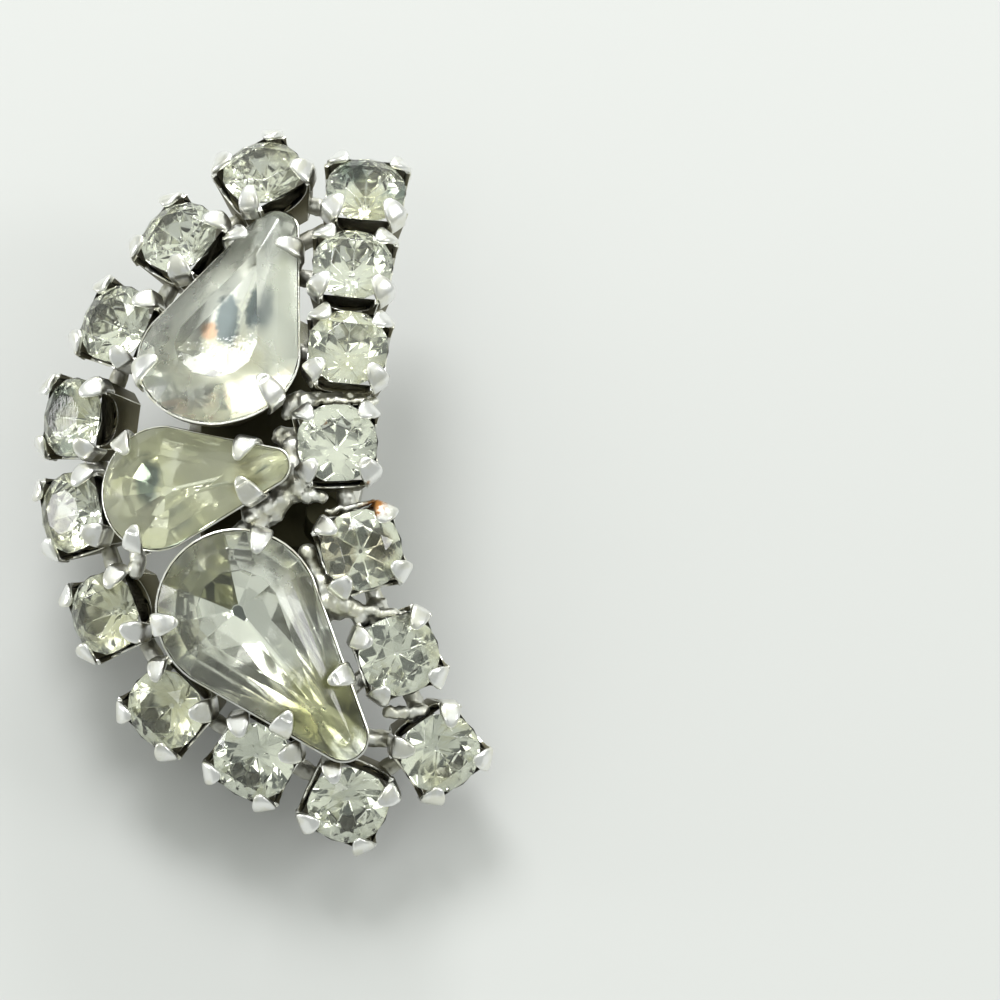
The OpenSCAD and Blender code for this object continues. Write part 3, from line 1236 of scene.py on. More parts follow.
class Bend(NamedTuple):
    """One section of a prong: its middle, its lean in degrees, its share of the width, its thickness."""

    x: float
    z: float
    lean: float
    width: float
    thickness: float


# The leaf of a prong, past its knee: x is a share of the reach, and z one of the rise from knee to tip
LEAF = (
    Bend(0.16, 0.42, 55, 1.10, 0.36),
    Bend(0.46, 0.76, 66, 0.88, 0.34),
    Bend(0.76, 0.94, 74, 0.58, 0.28),
    Bend(1.00, 1.00, 80, 0.30, 0.18),
)


@dataclass(frozen=True)
class Prong:
    """A strip of sheet that stands up from a wall and folds in over the glass as a pointed leaf.

    The leaf starts at leaf_x, and the middle of its last section is short of the reach and below the top.
    """

    reach: float
    knee: float
    top: float
    width: float = 0.85
    root: float = 0.7
    root_in: float = 0.0
    leaf_x: float = -0.36
    short: float = 0.04
    below_top: float = 0.10
    crease: float = 0.35

    def bends(self) -> list[Bend]:
        """Lists the prong's sections from its root to its tip.

        Returns:
            The sections, with the prong's outer face at x = 0 and the stone towards -x.
        """
        w = self.width
        span = self.reach + self.leaf_x - self.short
        rise = self.top - self.below_top - self.knee
        made = [
            Bend(-SHEET / 2 - self.root_in, -self.root, 0, w, SHEET),
            Bend(-SHEET / 2 - 0.7 * self.root_in, -self.root / 2, 0, w, SHEET),
            Bend(-0.14, 0.0, 6, 1.06 * w, 0.30),
            Bend(-0.22, self.knee, 30, 1.16 * w, 0.34),
        ]
        for b in LEAF:
            x, z = self.leaf_x - b.x * span, self.knee + b.z * rise
            made.append(Bend(x, z, b.lean, b.width * w, b.thickness))
        return made

    def pattern(self, tip: Tip) -> bpy.types.Object:
        """Bends one prong on the bench.

        Args:
            tip: how the end looks.

        Returns:
            The prong, in millimetres.
        """
        first, *others = self.bends()
        start_work()
        bpy.ops.mesh.primitive_plane_add(size=1, location=(first.x, 0, first.z))
        strip = added("prong_pattern")
        strip.scale = (first.thickness, first.width, 1)
        bake_place(strip)
        last = first
        for bend in others:
            at = Vector((last.x, 0, last.z))
            pick_faces(strip, lambda face: (face.center - at).length < SAME_PLACE)
            move = Vector((bend.x, 0, bend.z)) - at
            bpy.ops.mesh.extrude_region_move(TRANSFORM_OT_translate={"value": move})
            at = Vector((bend.x, 0, bend.z))
            bpy.ops.transform.rotate(value=-math.radians(last.lean), orient_axis="Y", center_override=at)
            share = (bend.thickness / last.thickness, bend.width / last.width, 1)
            bpy.ops.transform.resize(value=share, center_override=at)
            bpy.ops.transform.rotate(value=math.radians(bend.lean), orient_axis="Y", center_override=at)
            last = bend
        face_outwards()
        bpy.ops.object.mode_set(mode="OBJECT")
        if tip is Tip.PITTED:
            self.pit(strip)
        pick_edges(strip, self.runs_along)
        bpy.ops.transform.edge_crease(value=self.crease)
        bpy.ops.object.mode_set(mode="OBJECT")
        work(strip, "SUBSURF", levels=2, render_levels=2)
        smooth(strip, 60)
        return strip

    @staticmethod
    def runs_along(a: Vector, b: Vector) -> bool:
        """Says whether an edge runs along the strip, by how little it narrows and how long it is."""
        narrows, least = 0.3, 0.2
        return abs(abs(a.y) - abs(b.y)) < narrows and a.y * b.y > 0 and (a - b).length > least

    @staticmethod
    def pit(strip: bpy.types.Object) -> None:
        """Presses a small pit into the upper side near the tip.

        Args:
            strip: the prong, before it is smoothed.
        """
        upward, rim, wall, depth = 0.5, 0.06, 0.04, 0.10
        tops = sorted((f for f in strip.data.polygons if f.normal.z > upward), key=lambda f: f.center.x)
        chosen = tops[1].index
        pick_faces(strip, lambda face: face.index == chosen)
        bpy.ops.mesh.inset(thickness=rim, depth=0)
        bpy.ops.mesh.inset(thickness=wall, depth=-depth)
        bpy.ops.object.mode_set(mode="OBJECT")


def rub_rim(piece: bpy.types.Object) -> None:
    """Gives the upward faces near the top of a thin wall the rubbed finish, its second material.

    Args:
        piece: the basket or the cup.
    """
    upward, lowest = 0.5, -1.3
    for face in piece.data.polygons:
        if face.normal.z > upward and face.center.z > lowest:
            face.material_index = 1


@dataclass
class Basket:
    """An open square basket with scalloped walls and a prong on each cut corner.

    Foot is the share of its width that is left at the foot. The prongs' tips come in to tip_r, and each
    prong is turned, twisted and sized a little on its own. Pitted lists prongs by arc, stone and corner.
    """

    palette: Palette
    height: float = 2.9
    foot: float = 0.78
    scallop_w: float = 1.27
    scallop_depth: float = 1.2
    rim_round: float = 0.085
    rim_edge: float = 40.0
    stands_out: float = 0.06
    tip_r: float = 1.40
    knee: float = 0.28
    prong_top: float = 0.89
    prong_w: float = 1.0
    off_angle: float = 2.5
    off_twist: float = 8.0
    off_sizes: tuple[tuple[float, float], ...] = ((0.9, 1.0), (0.88, 1.08), (0.94, 1.0))
    pitted: frozenset[tuple[Arc, int, int]] = frozenset({(Arc.INNER, 3, 2), (Arc.INNER, 4, 3)})

    def walls(self) -> bpy.types.Object:
        """Folds the four walls.

        Returns:
            The basket without prongs, in millimetres.
        """
        start_work()
        bpy.ops.mesh.primitive_circle_add(
            vertices=4, radius=STRAP * math.sqrt(2), fill_type="NGON", rotation=(0, 0, math.radians(45))
        )
        basket = added("basket_pattern")
        bake_place(basket)
        pick_faces(basket, lambda face: True)
        bpy.ops.mesh.extrude_region_move(TRANSFORM_OT_translate={"value": (0, 0, -self.height)})
        foot = self.foot
        bpy.ops.transform.resize(value=(foot, foot, 1), center_override=(0, 0, -self.height))
        pick_faces(basket, lambda face: abs(face.normal.z) > LEVEL)
        bpy.ops.mesh.delete(type="FACE")
        pick_edges(basket, lambda a, b: abs(a.z - b.z) > self.height / 2)
        corner_cut = (STRAP - (CORNER * math.sqrt(2) - STRAP)) / (2 * STRAP) * 100
        bpy.ops.mesh.bevel(offset_type="PERCENT", offset_pct=corner_cut, segments=1, affect="EDGES")
        face_outwards()
        bpy.ops.object.mode_set(mode="OBJECT")
        work(basket, "SOLIDIFY", thickness=SHEET, offset=-1, use_even_offset=True)
        for turn in (0, 90):
            start_work()
            bpy.ops.mesh.primitive_cylinder_add(vertices=32, radius=1, depth=6)
            tool = added("scallop_tool")
            tool.scale = (self.scallop_w, self.scallop_depth, 1)
            tool.rotation_euler = (math.radians(90), 0, math.radians(turn))
            bake_place(tool)
            cut(basket, tool)
        dress(basket, self.palette.setting, self.palette.rubbed)
        round_edges(basket, self.rim_round, self.rim_edge, material=1)
        rub_rim(basket)
        smooth(basket)
        return basket

    def stand(self, corner: int, chance: random.Random) -> Matrix:
        """Places the prong of a corner, a little off, as it was bent by hand.

        Args:
            corner: which of the four.
            chance: draws how far off it is.

        Returns:
            Where the prong goes on the basket, in millimetres.
        """
        out = CORNER + self.stands_out
        angle = math.radians(45 + 90 * corner + chance.uniform(-self.off_angle, self.off_angle))
        twist = math.radians(chance.uniform(-self.off_twist, self.off_twist))
        size = Matrix.Diagonal((*(chance.uniform(*span) for span in self.off_sizes), 1))
        around = Matrix.Rotation(angle, 4, "Z") @ Matrix.Translation((out, 0, 0))
        return around @ Matrix.Rotation(twist, 4, "Z") @ size

    def make(self) -> None:
        """Makes the basket and its prong once, and a copy for every round stone."""
        walls = self.walls()
        reach = CORNER + self.stands_out - self.tip_r
        bent = Prong(reach, self.knee, self.prong_top, self.prong_w)
        prongs = {tip: bent.pattern(tip) for tip in Tip}
        for prong in prongs.values():
            dress(prong, self.palette.prong)
        for arc, seats in ROWS.items():
            for i, seat in enumerate(seats, 1):
                chance = random.Random(f"{arc.value} {i}")
                place = TO_METRES @ seat.matrix()
                parts = [copy_of(walls, "wall_copy", place)]
                for k in range(4):
                    tip = Tip.PITTED if (arc, i, k) in self.pitted else Tip.PLAIN
                    parts.append(copy_of(prongs[tip], "prong_copy", place @ self.stand(k, chance)))
                piece = join(f"basket_{arc.value}_{i}", parts)
                hand_in(piece, ["setting"])
        remove([walls, *prongs.values()])


@dataclass
class PearCup:
    """A drop-shaped cup with a floor, a thin rim round the girdle and four prongs.

    Stone_depth and prong_rise are shares of the stone's width. The floor lies clear below the stone, and
    the prongs reach prong_top higher than their share.
    """

    palette: Palette
    wall: float = 0.34
    rim_wall: float = 0.12
    bend_inset: float = 0.06
    sheet: float = 0.09
    rim_z: float = -0.03
    rim_round: float = 0.03
    bend_z: float = -0.45
    stone_depth: float = 0.30
    clear: float = 0.08
    floor_inset: float = 1.9
    sides: int = 48
    prong_angle: float = 30.0
    prong_w: float = 1.0
    prong_reach: float = 1.05
    prong_rise: float = 0.108
    prong_top: float = 0.48
    knee: float = 0.54
    root_in: float = 0.25
    stands_out: float = 0.06
    off_angle: float = 4.0

    def make(self) -> None:
        """Makes the three cups with their prongs."""
        for shape in PEARS:
            floor_z = -(self.stone_depth * shape.width + self.clear + SHEET)
            cup = shape.outline(None, -self.rim_wall, self.rim_z, self.sides)
            shape.outline(cup, self.bend_inset, self.bend_z, self.sides)
            shape.outline(cup, self.floor_inset - self.wall, floor_z, self.sides)
            wrap(cup)
            pick_faces(cup, lambda face: face.normal.z > LEVEL)
            bpy.ops.mesh.delete(type="FACE")
            bpy.ops.object.mode_set(mode="OBJECT")
            work(cup, "SOLIDIFY", thickness=self.sheet, offset=-1, use_even_offset=True)
            dress(cup, self.palette.cup, self.palette.rubbed)
            round_edges(cup, self.rim_round, material=1)
            rub_rim(cup)
            smooth(cup)
            cup = join(f"pear_cup_{shape.name}", [cup, *self.prongs(shape)])
            cup.data.transform(TO_METRES @ shape.seat.matrix(PEAR_LIFT))
            hand_in(cup, ["setting"])

    def prongs(self, shape: PearShape) -> list[bpy.types.Object]:
        """Makes a cup's four prongs at their places.

        Args:
            shape: the stone that they hold.

        Returns:
            The prongs, in millimetres about the cup.
        """
        out = self.wall + self.stands_out
        top = self.prong_rise * shape.width + self.prong_top
        bent = Prong(out + self.prong_reach, self.knee, top, self.prong_w, root_in=self.root_in)
        chance = random.Random(shape.name)
        side_angle = math.degrees(math.asin(shape.taper()))
        made = []
        for side in (0, 1):
            spots = (
                (-self.prong_angle, shape.width / 2 + out, 0.0, 0.0),
                (side_angle, out, shape.edge(shape.prong_y), shape.prong_y),
            )
            for k, (angle, away, x, y) in enumerate(spots):
                tip = Tip.PITTED if (side, k) in shape.pits else Tip.PLAIN
                pattern = bent.pattern(tip)
                dress(pattern, self.palette.prong)
                turn = math.radians(angle + chance.uniform(-self.off_angle, self.off_angle))
                stand = Matrix.Translation((x, y, 0)) @ Matrix.Rotation(turn, 4, "Z")
                stand = stand @ Matrix.Translation((away, 0, 0))
                if side:
                    stand = Matrix.Diagonal((-1, 1, 1, 1)) @ stand
                prong = copy_of(pattern, "prong_copy", stand)
                if side:
                    prong.data.flip_normals()
                made.append(prong)
                remove([pattern])
        return made


class Lump(NamedTuple):
    """A lump of solder: its place, its depth below the dome and its radius."""

    x: float
    y: float
    below: float
    radius: float


class Seam(NamedTuple):
    """A seam of solder beads: its two ends, its depth below the dome, the beads' radius and count."""

    x: float
    y: float
    end_x: float
    end_y: float
    below: float
    radius: float
    beads: int


@dataclass
class Solder:
    """The runs, lumps and seams of solder that join the settings.

    A run starts at wall_share of the way from a setting's middle to its wall, and at most at most_share
    of the way to the next setting. A lump is one drop of core_share of its radius with smaller ones round
    it, and a bead is up to off_line and off_level of its radius away from its seam. Each ripple is its
    waves' size and its height.
    """

    palette: Palette
    run_r: float = 0.45
    wall_share: float = 0.93
    most_share: float = 0.48
    drops_in_lump: int = 9
    core_share: float = 0.72
    drop_shares: tuple[float, float] = (0.22, 0.48)
    drop_flat: float = 0.8
    drop_level: tuple[float, float] = (-0.7, 0.35)
    bead_shares: tuple[float, float] = (0.9, 1.35)
    off_line: float = 0.5
    off_level: tuple[float, float] = (-0.6, 0.3)
    melt: float = 0.10
    ripples: tuple[tuple[float, float], ...] = ((0.6, 0.14), (0.22, 0.10))
    lumps: tuple[Lump, ...] = (
        Lump(2.05, -0.75, 0.6, 0.95),
        Lump(-0.2, -2.45, 0.45, 0.85),
        Lump(1.5, 1.2, 1.1, 0.85),
        Lump(2.2, 2.7, 0.5, 0.75),
        Lump(5.8, -6.8, 1.0, 0.90),
        Lump(3.7, -6.8, 0.9, 0.80),
        Lump(7.9, -11.0, 1.5, 0.75),
    )
    seams: tuple[Seam, ...] = (
        Seam(2.3, 2.85, 5.9, 2.9, 0.55, 0.20, 13),
        Seam(2.3, 3.2, 5.7, 3.25, 0.75, 0.17, 13),
        Seam(1.3, 2.4, 2.4, 2.9, 0.5, 0.40, 6),
        Seam(1.5, 0.5, 1.9, -1.4, 0.35, 0.42, 10),
        Seam(1.2, -0.8, 2.2, -1.9, 0.6, 0.42, 8),
        Seam(2.0, -1.6, 3.2, -1.9, 0.4, 0.32, 7),
        Seam(1.5, -1.5, -0.7, -3.4, 0.6, 0.42, 13),
        Seam(1.0, -2.3, -0.2, -3.3, 0.7, 0.36, 8),
        Seam(-0.8, -2.9, -1.5, -3.6, 0.5, 0.32, 5),
        Seam(3.3, -2.5, 5.7, -1.9, 0.6, 0.15, 11),
        Seam(2.5, -4.2, 3.3, -6.2, 0.7, 0.36, 10),
        Seam(3.4, -6.4, 4.9, -7.2, 0.5, 0.46, 9),
        Seam(4.9, -7.0, 7.2, -7.1, 0.5, 0.26, 11),
        Seam(6.2, -11.3, 8.2, -11.2, 0.5, 0.28, 9),
        Seam(-5.9, -2.9, -6.0, -4.8, 0.1, 0.34, 6),
    )

    @staticmethod
    def joint(seat: Seat, lift: float = 0.0) -> Vector:
        """Returns a setting's middle at the depth where it is soldered."""
        return seat.point(lift) - SOLDER_DEPTH * seat.axis()

    def run(self, a: Vector, b: Vector) -> bpy.types.Object:
        """Draws one run of solder between two points.

        Args:
            a: where it starts.
            b: where it ends.

        Returns:
            The run, in millimetres.
        """
        start_work()
        bpy.ops.mesh.primitive_uv_sphere_add(segments=12, ring_count=8, radius=self.run_r)
        drop = added("run")
        length = (b - a).length
        pick_points(drop, lambda co: co.z > 0.01)
        bpy.ops.transform.translate(value=(0, 0, length / 2))
        pick_points(drop, lambda co: co.z < -0.01)
        bpy.ops.transform.translate(value=(0, 0, -length / 2))
        bpy.ops.object.mode_set(mode="OBJECT")
        turn = (b - a).to_track_quat("Z", "Y").to_matrix().to_4x4()
        drop.data.transform(Matrix.Translation((a + b) / 2) @ turn)
        return drop

    def runs(self) -> list[bpy.types.Object]:
        """Draws every run: round the crescent, and from each round setting to the cup beside it.

        Returns:
            The runs, in millimetres.
        """
        made = []
        loop = [*OUTER, *reversed(INNER)]
        for i, seat in enumerate(loop):
            a = self.joint(seat)
            b = self.joint(loop[(i + 1) % len(loop)])
            share = min(self.wall_share * STRAP / (b - a).length, self.most_share)
            made.append(self.run(a + share * (b - a), b - share * (b - a)))
        for seat in (*OUTER, *INNER):
            a = self.joint(seat)
            b, half = self.nearest(PEARS[seat.pear], a)
            gap = (b - a).length
            share = self.wall_share * STRAP / gap
            end = 1 - self.wall_share * half / gap
            if end > share:
                made.append(self.run(a + share * (b - a), a + end * (b - a)))
        return made

    def drops(self) -> list[bpy.types.Object]:
        """Heaps small drops of solder where the cups meet the inner column.

        Returns:
            The drops, in millimetres.
        """
        chance = random.Random("solder")
        made = []
        for x, y, below, radius in self.lumps:
            middle = Vector((x, y, DOME.height(x, y) - below))
            for k in range(self.drops_in_lump):
                away_x, away_y = chance.uniform(-1, 1), chance.uniform(-1, 1)
                away = Vector((away_x, away_y, chance.uniform(*self.drop_level)))
                size = radius * (self.core_share if k == 0 else chance.uniform(*self.drop_shares))
                start_work()
                place = middle + away.normalized() * (radius - size) * (k > 0)
                bpy.ops.mesh.primitive_ico_sphere_add(subdivisions=2, radius=size, location=place)
                drop = added("drop")
                drop.scale.z = self.drop_flat
                bake_place(drop)
                made.append(drop)
        return made

    def beads(self) -> list[bpy.types.Object]:
        """Lays the seams' beads along their lines, none quite like the next.

        Returns:
            The beads, in millimetres.
        """
        chance = random.Random("beads")
        made = []
        for seam in self.seams:
            for k in range(seam.beads):
                t = (k + 0.5) / seam.beads
                off_x = chance.uniform(-self.off_line, self.off_line)
                off_y = chance.uniform(-self.off_line, self.off_line)
                x = seam.x + t * (seam.end_x - seam.x) + off_x * seam.radius
                y = seam.y + t * (seam.end_y - seam.y) + off_y * seam.radius
                z = DOME.height(x, y) - seam.below + chance.uniform(*self.off_level) * seam.radius
                size = seam.radius * chance.uniform(*self.bead_shares)
                start_work()
                bpy.ops.mesh.primitive_ico_sphere_add(subdivisions=2, radius=size, location=(x, y, z))
                made.append(added("bead"))
                bake_place(made[-1])
        return made

    def nearest(self, shape: PearShape, point: Vector) -> tuple[Vector, float]:
        """Finds the point of a pear's middle line that is nearest to another point.

        Args:
            shape: the pear.
            point: the other point.

        Returns:
            The point, and half the pear's width there.
        """
        along = shape.seat.matrix().to_3x3() @ Vector((0, 1, 0))
        middle = self.joint(shape.seat, PEAR_LIFT)
        reach = shape.length - shape.width / 2 - shape.tip_r
        t = max(0.0, min(reach, (point - middle).dot(along)))
        return middle + t * along, shape.edge(t)

    def make(self) -> None:
        """Melts the runs, lumps and beads into one piece."""
        solder = join("solder", [*self.runs(), *self.drops(), *self.beads()])
        work(solder, "REMESH", mode="VOXEL", voxel_size=self.melt)
        for scale, strength in self.ripples:
            ripple = bpy.data.textures.new("solder_ripple", "CLOUDS")
            ripple.noise_scale = scale
            work(solder, "DISPLACE", texture=ripple, strength=strength, texture_coords="LOCAL", mid_level=0.5)
        work(solder, "SMOOTH", factor=0.5, iterations=1)
        smooth(solder, 180)
        solder.data.transform(TO_METRES)
        dress(solder, self.palette.solder)
        hand_in(solder, ["setting"])


def rounded_plate(name: str, size: Vector, corner: float, middle: Vector) -> bpy.types.Object:
    """Cuts a plate with round corners and rubbed edges.

    Args:
        name: the plate's name.
        size: its width, length and thickness.
        corner: the radius of its corners.
        middle: where its middle is.

    Returns:
        The plate, in millimetres.
    """
    start_work()
    bpy.ops.mesh.primitive_cube_add(size=1, location=middle)
    plate = added(name)
    plate.scale = size
    bake_place(plate)
    pick_edges(plate, lambda a, b: abs(a.z - b.z) > 0.5 * size.z)
    bpy.ops.mesh.bevel(offset=corner, segments=6, affect="EDGES")
    bpy.ops.object.mode_set(mode="OBJECT")
    round_edges(plate, 0.09)
    smooth(plate)
    return plate


@dataclass
class BackBridge:
    """The plate across the backs of the cups, on posts that flare at the foot. The clip is soldered to it."""

    palette: Palette
    width: float = 7.0
    length: float = 10.2
    thickness: float = 0.8
    corner: float = 1.5
    z: float = 6.68
    x: float = 0.6
    end_y: float = 7.1
    post_r: float = 0.864
    flare: float = 1.5
    flare_h: float = 0.25
    posts: tuple[tuple[float, float], ...] = ((-1.8, 5.6), (3.8, 3.0), (-1.8, 0.8), (3.2, -2.0))

    def make(self) -> None:
        """Makes the bridge and its posts as one piece."""
        middle = Vector((self.x, self.end_y - self.length / 2, self.z + self.thickness / 2))
        size = Vector((self.width, self.length, self.thickness))
        parts = [rounded_plate("bridge", size, self.corner, middle)]
        parts += [self.post(x, y) for x, y in self.posts]
        bridge = join("back_bridge", parts)
        bridge.data.transform(TO_METRES)
        dress(bridge, self.palette.bridge)
        hand_in(bridge, ["setting"])

    def post(self, x: float, y: float) -> bpy.types.Object:
        """Turns one post, which reaches from inside the plate to the backs of the settings.

        Args:
            x: its place across the crescent.
            y: its place along the crescent.

        Returns:
            The post, in millimetres.
        """
        floor = self.z + self.thickness / 2
        top = DOME.height(x, y) - SOLDER_DEPTH
        start_work()
        bpy.ops.mesh.primitive_cylinder_add(
            vertices=24, radius=self.post_r, depth=top - floor, location=(x, y, (top + floor) / 2)
        )
        post = added("post")
        bake_place(post)
        edit(post)
        bpy.ops.mesh.select_all(action="SELECT")
        waist = (x, y, floor + self.thickness / 2 + self.flare_h)
        bpy.ops.mesh.bisect(plane_co=waist, plane_no=(0, 0, 1))
        pick_points(post, lambda co: co.z < floor + 0.01)
        bpy.ops.transform.resize(value=(self.flare, self.flare, 1), center_override=(x, y, floor))
        bpy.ops.object.mode_set(mode="OBJECT")
        round_edges(post, 0.08)
        smooth(post)
        return post


@dataclass
class EarClip:
    """The plain clip: base plate, hinge barrel, and a bent arm that widens to a ribbed oval paddle.

    Its places are about its own origin, which is on the table at x and y. The bend's back stands over it.
    """

    palette: Palette
    x: float = 0.6
    y: float = -5.7
    plate_z: float = 5.8
    plate_t: float = 0.8
    plate_l: float = 11.0
    plate_w: float = 7.0
    plate_y: float = 1.8
    hinge_r: float = 1.2
    hinge_y: float = 1.2
    arm_t: float = 0.9
    arm_w: float = 4.5
    arm_l: float = 7.0
    blade_l: float = 14.0
    blade_w: float = 9.0
    length: float = 17.0
    tip_l: float = 4.0
    tip_rise: float = 1.0
    ribs: int = 4
    rib_pitch: float = 1.7
    rib_w: float = 0.6
    rib_h: float = 0.2
    rib_l: float = 8.0
    rib_y: float = 5.0
    rib_sunk: float = 0.2
    rib_corner: float = 0.28
    corner: float = 1.5
    barrel_play: float = 0.012
    pin_rim: float = 0.7
    pin_sunk: float = 0.12
    pin_wall: float = 0.05
    pin_rise: float = 0.1
    through: float = 24.0

    def strip(self) -> bpy.types.Object:
        """Bends the strip that is arm and paddle, at the paddle's full width.

        Returns:
            The strip, in millimetres about the clip's origin.
        """
        bend = (self.plate_z + self.hinge_r - self.arm_t) / 2
        start_work()
        bpy.ops.mesh.primitive_plane_add(size=1, rotation=(math.radians(90), 0, 0))
        strip = added("arm")
        strip.scale = (self.blade_w, self.arm_t, 1)
        strip.location = (0, self.length, self.tip_rise + self.arm_t / 2)
        bake_place(strip)
        for step in ((0, -self.tip_l, -self.tip_rise), (0, bend - self.length + self.tip_l, 0)):
            bpy.ops.object.mode_set(mode="OBJECT")
            ends = {f.index: f.center.y for f in strip.data.polygons if abs(f.normal.y) > LEVEL}
            near = min(ends, key=ends.get)
            pick_faces(strip, lambda face: face.index == near)
            bpy.ops.mesh.extrude_region_move(TRANSFORM_OT_translate={"value": step})
        bpy.ops.mesh.spin(steps=12, angle=math.radians(90), center=(0, bend, bend), axis=(1, 0, 0))
        bpy.ops.mesh.extrude_region_move(TRANSFORM_OT_translate={"value": (0, 0, self.plate_z - bend)})
        bpy.ops.mesh.select_all(action="SELECT")
        bpy.ops.mesh.remove_doubles(threshold=0.001)
        face_outwards()
        bpy.ops.object.mode_set(mode="OBJECT")
        return strip

    def make(self) -> None:
        """Makes the clip as one piece."""
        strip = self.strip()
        cut(strip, self.blade_tool(), "INTERSECT")
        round_edges(strip, 0.12)
        smooth(strip)
        size = Vector((self.plate_w, self.plate_l, self.plate_t))
        middle = Vector((0, self.plate_y + self.plate_l / 2, self.plate_z + self.plate_t / 2))
        parts = [strip, rounded_plate("plate", size, self.corner, middle), self.barrel()]
        rib = Vector((self.rib_w, self.rib_l, self.rib_h + self.rib_sunk))
        for i in range(self.ribs):
            x = (i - (self.ribs - 1) / 2) * self.rib_pitch
            z = self.arm_t + (self.rib_h - self.rib_sunk) / 2
            place = Vector((x, self.rib_y + self.rib_l / 2, z))
            parts.append(rounded_plate("rib", rib, self.rib_corner, place))
        clip = join("clip", parts)
        clip.data.transform(TO_METRES @ Matrix.Translation((self.x, self.y, 0)))
        dress(clip, self.palette.clip)
        hand_in(clip, ["ear_clip"])

    def blade_tool(self) -> bpy.types.Object:
        """Makes the upright outline of arm and blade that the strip is trimmed with.

        Returns:
            The closed outline, in millimetres about the clip's origin.
        """
        start_work()
        bpy.ops.mesh.primitive_cylinder_add(vertices=48, radius=0.5, depth=self.through)
        blade = added("blade_tool")
        blade.scale = (self.blade_w, self.blade_l, 1)
        blade.location = (0, self.length - self.blade_l / 2, self.plate_z)
        bake_place(blade)
        start_work()
        bpy.ops.mesh.primitive_cube_add(size=1, location=(0, self.arm_l / 2 - 0.5, self.plate_z))
        arm = added("arm_tool")
        arm.scale = (self.arm_w, self.arm_l + 1, self.through)
        bake_place(arm)
        cut(blade, arm, "UNION")
        return blade

    def barrel(self) -> bpy.types.Object:
        """Makes the hinge barrel with its pin's ends.

        Returns:
            The barrel, in millimetres about the clip's origin.
        """
        start_work()
        bpy.ops.mesh.primitive_cylinder_add(
            vertices=32,
            radius=self.hinge_r - self.barrel_play,
            depth=self.plate_w - 1,
            rotation=(0, math.radians(90), 0),
        )
        barrel = added("barrel")
        barrel.location = (0, self.hinge_y, self.plate_z)
        bake_place(barrel)
        pick_faces(barrel, lambda face: abs(face.normal.x) > LEVEL)
        bpy.ops.mesh.inset(thickness=self.pin_rim, depth=-self.pin_sunk, use_individual=True)
        bpy.ops.mesh.inset(thickness=self.pin_wall, depth=self.pin_rise, use_individual=True)
        bpy.ops.object.mode_set(mode="OBJECT")
        round_edges(barrel, 0.06)
        smooth(barrel)
        return barrel


class Lamp(NamedTuple):
    """A round lamp that shines at the origin: its name, its place and size in metres, its power in watts."""

    name: str
    place: Place
    size: float
    power: float


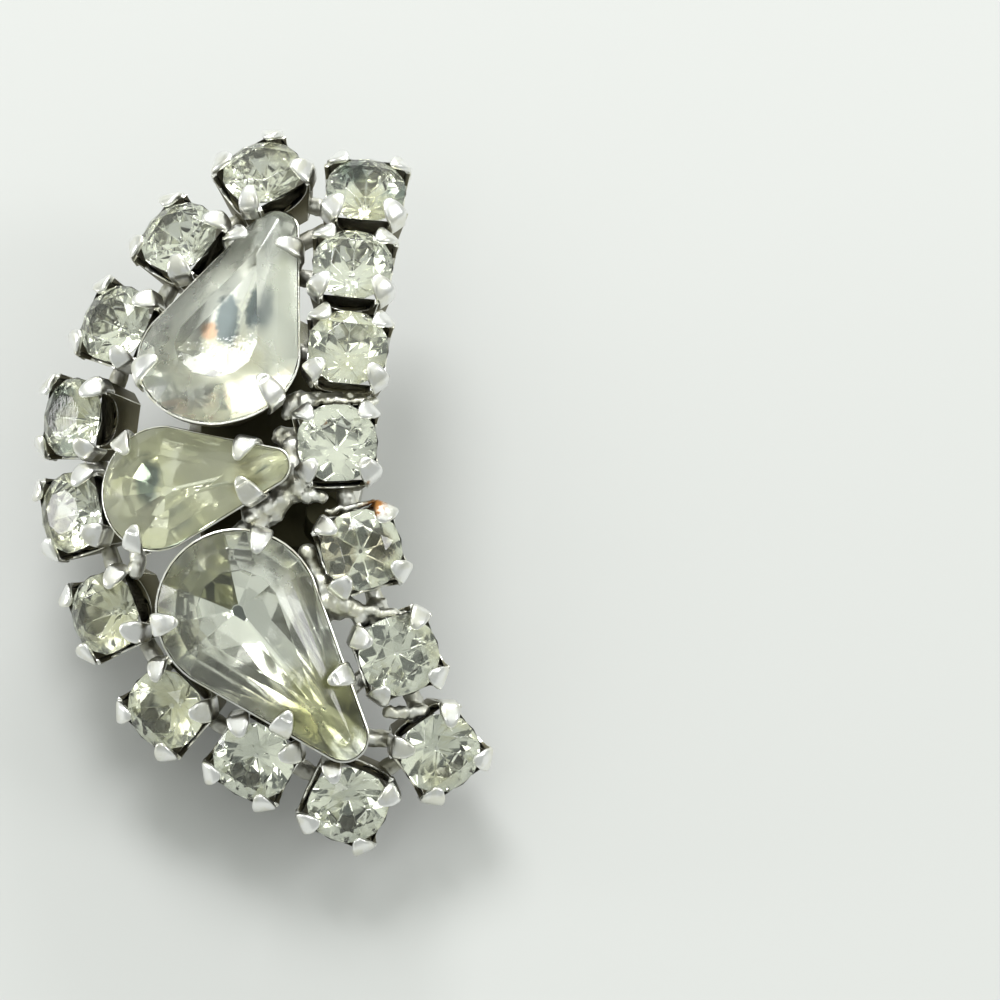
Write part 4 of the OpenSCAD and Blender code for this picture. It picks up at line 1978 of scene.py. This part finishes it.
@dataclass
class Studio:
    """Pale floor, soft lights and the camera, in metres.

    The room is lit up to overhead_colour round the overhead direction. The shape of whoever holds the
    camera is a round patch of it, a little to the right of the camera, between the two cosines of
    holder_edge.
    """

    aim: Place = (0.0118, -0.0025, 0.0126)
    elevation: float = 70.0
    distance: float = 0.4
    lens: float = 298.0
    sensor: float = 36.0
    near_clip: float = 0.01
    floor_size: float = 4.0
    floor_z: float = -0.00002
    floor_colour: Colour = (0.62, 0.63, 0.62, 1.0)
    floor_rough: float = 0.7
    room_colour: Colour = (0.46, 0.48, 0.46, 1.0)
    overhead: Place = (0.0, 0.45, 0.9)
    overhead_colour: Colour = (0.95, 0.98, 0.92, 1.0)
    overhead_edge: tuple[float, float] = (0.2, 1.0)
    holder_x: float = 0.05
    holder_colour: Colour = (0.07, 0.08, 0.08, 1.0)
    holder_edge: tuple[float, float] = (0.955, 0.985)
    lamps: tuple[Lamp, ...] = (
        Lamp("window", (-0.0596, 0.2790, 0.3412), 0.18, 0.9),
        Lamp("low", (0.085, 0.40, 0.17), 0.13, 0.6),
        Lamp("left", (-0.40, 0.03, 0.08), 0.13, 0.3),
        Lamp("right", (0.34, 0.02, 0.26), 0.12, 0.25),
        Lamp("near", (-0.0654, -0.090, 0.342), 0.085, 0.05),
    )

    def make(self) -> None:
        """Sets up the studio."""
        self.floor()
        self.world()
        self.light()
        self.camera()
        bpy.context.scene.view_settings.view_transform = "Standard"

    def to_camera(self, x: float = 0.0) -> Vector:
        """Returns the direction from the earring to the camera, moved sideways by x."""
        angle = math.radians(self.elevation)
        return Vector((x, -math.cos(angle), math.sin(angle)))

    def light(self) -> None:
        """Hangs the lamps."""
        for lamp in self.lamps:
            light = bpy.data.lights.new(lamp.name, "AREA")
            light.shape = "DISK"
            light.size = lamp.size
            light.energy = lamp.power
            hung = bpy.data.objects.new(lamp.name, light)
            hung.location = lamp.place
            hung.rotation_euler = (-Vector(lamp.place)).to_track_quat("-Z", "Y").to_euler()
            bpy.context.scene.collection.objects.link(hung)

    def camera(self) -> None:
        """Sets up the camera at the photo's angle."""
        camera = bpy.data.objects.new("camera", bpy.data.cameras.new("camera"))
        camera.location = Vector(self.aim) + self.distance * self.to_camera()
        camera.rotation_euler = (math.pi / 2 - math.radians(self.elevation), 0, 0)
        camera.data.lens = self.lens
        camera.data.sensor_width = self.sensor
        camera.data.clip_start = self.near_clip
        bpy.context.scene.collection.objects.link(camera)
        bpy.context.scene.camera = camera

    def floor(self) -> None:
        """Lays a plain pale floor."""
        start_work()
        bpy.ops.mesh.primitive_plane_add(size=self.floor_size, location=(0, 0, self.floor_z))
        floor = added("floor")
        bake_place(floor)
        material, _, shader = new_material("pale_floor")
        shader.inputs["Base Color"].default_value = self.floor_colour
        shader.inputs["Roughness"].default_value = self.floor_rough
        dress(floor, material)

    def world(self) -> None:
        """Sets a plain light room, brighter overhead, with the dark shape of whoever holds the camera."""
        world = bpy.data.worlds.new("room")
        world.use_nodes = True
        bpy.context.scene.world = world
        graph = Graph(world.node_tree)
        direction = graph.add("TexCoord").outputs["Generated"]
        overhead = graph.ramp(self.towards(graph, direction, Vector(self.overhead)), *self.overhead_edge)
        colour = graph.blend(overhead, self.room_colour, self.overhead_colour)
        holder = self.towards(graph, direction, self.to_camera(self.holder_x))
        colour = graph.blend(graph.ramp(holder, *self.holder_edge), colour, self.holder_colour)
        graph.feed(world.node_tree.nodes["Background"].inputs["Color"], colour)

    @staticmethod
    def towards(graph: Graph, direction: bpy.types.NodeSocket, goal: Vector) -> bpy.types.NodeSocket:
        """Measures how nearly a direction of the room points at a goal.

        Args:
            graph: the room's graph.
            direction: the direction.
            goal: the direction of the goal.

        Returns:
            The cosine of the angle between them.
        """
        node = graph.add("VectorMath", operation="DOT_PRODUCT")
        graph.feed(node.inputs[0], direction)
        node.inputs[1].default_value = goal.normalized()
        return node.outputs["Value"]


def main() -> None:
    """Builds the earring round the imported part."""
    logging.basicConfig(level=logging.INFO, format="%(name)s %(message)s")
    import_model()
    palette = mix_palette()
    for maker in (
        RoundStone(palette),
        PearStone(palette),
        Basket(palette),
        PearCup(palette),
        Solder(palette),
        BackBridge(palette),
        EarClip(palette),
    ):
        maker.make()
        log.info("%s done", type(maker).__name__)
    Studio().make()


if __name__ == "__main__":
    main()
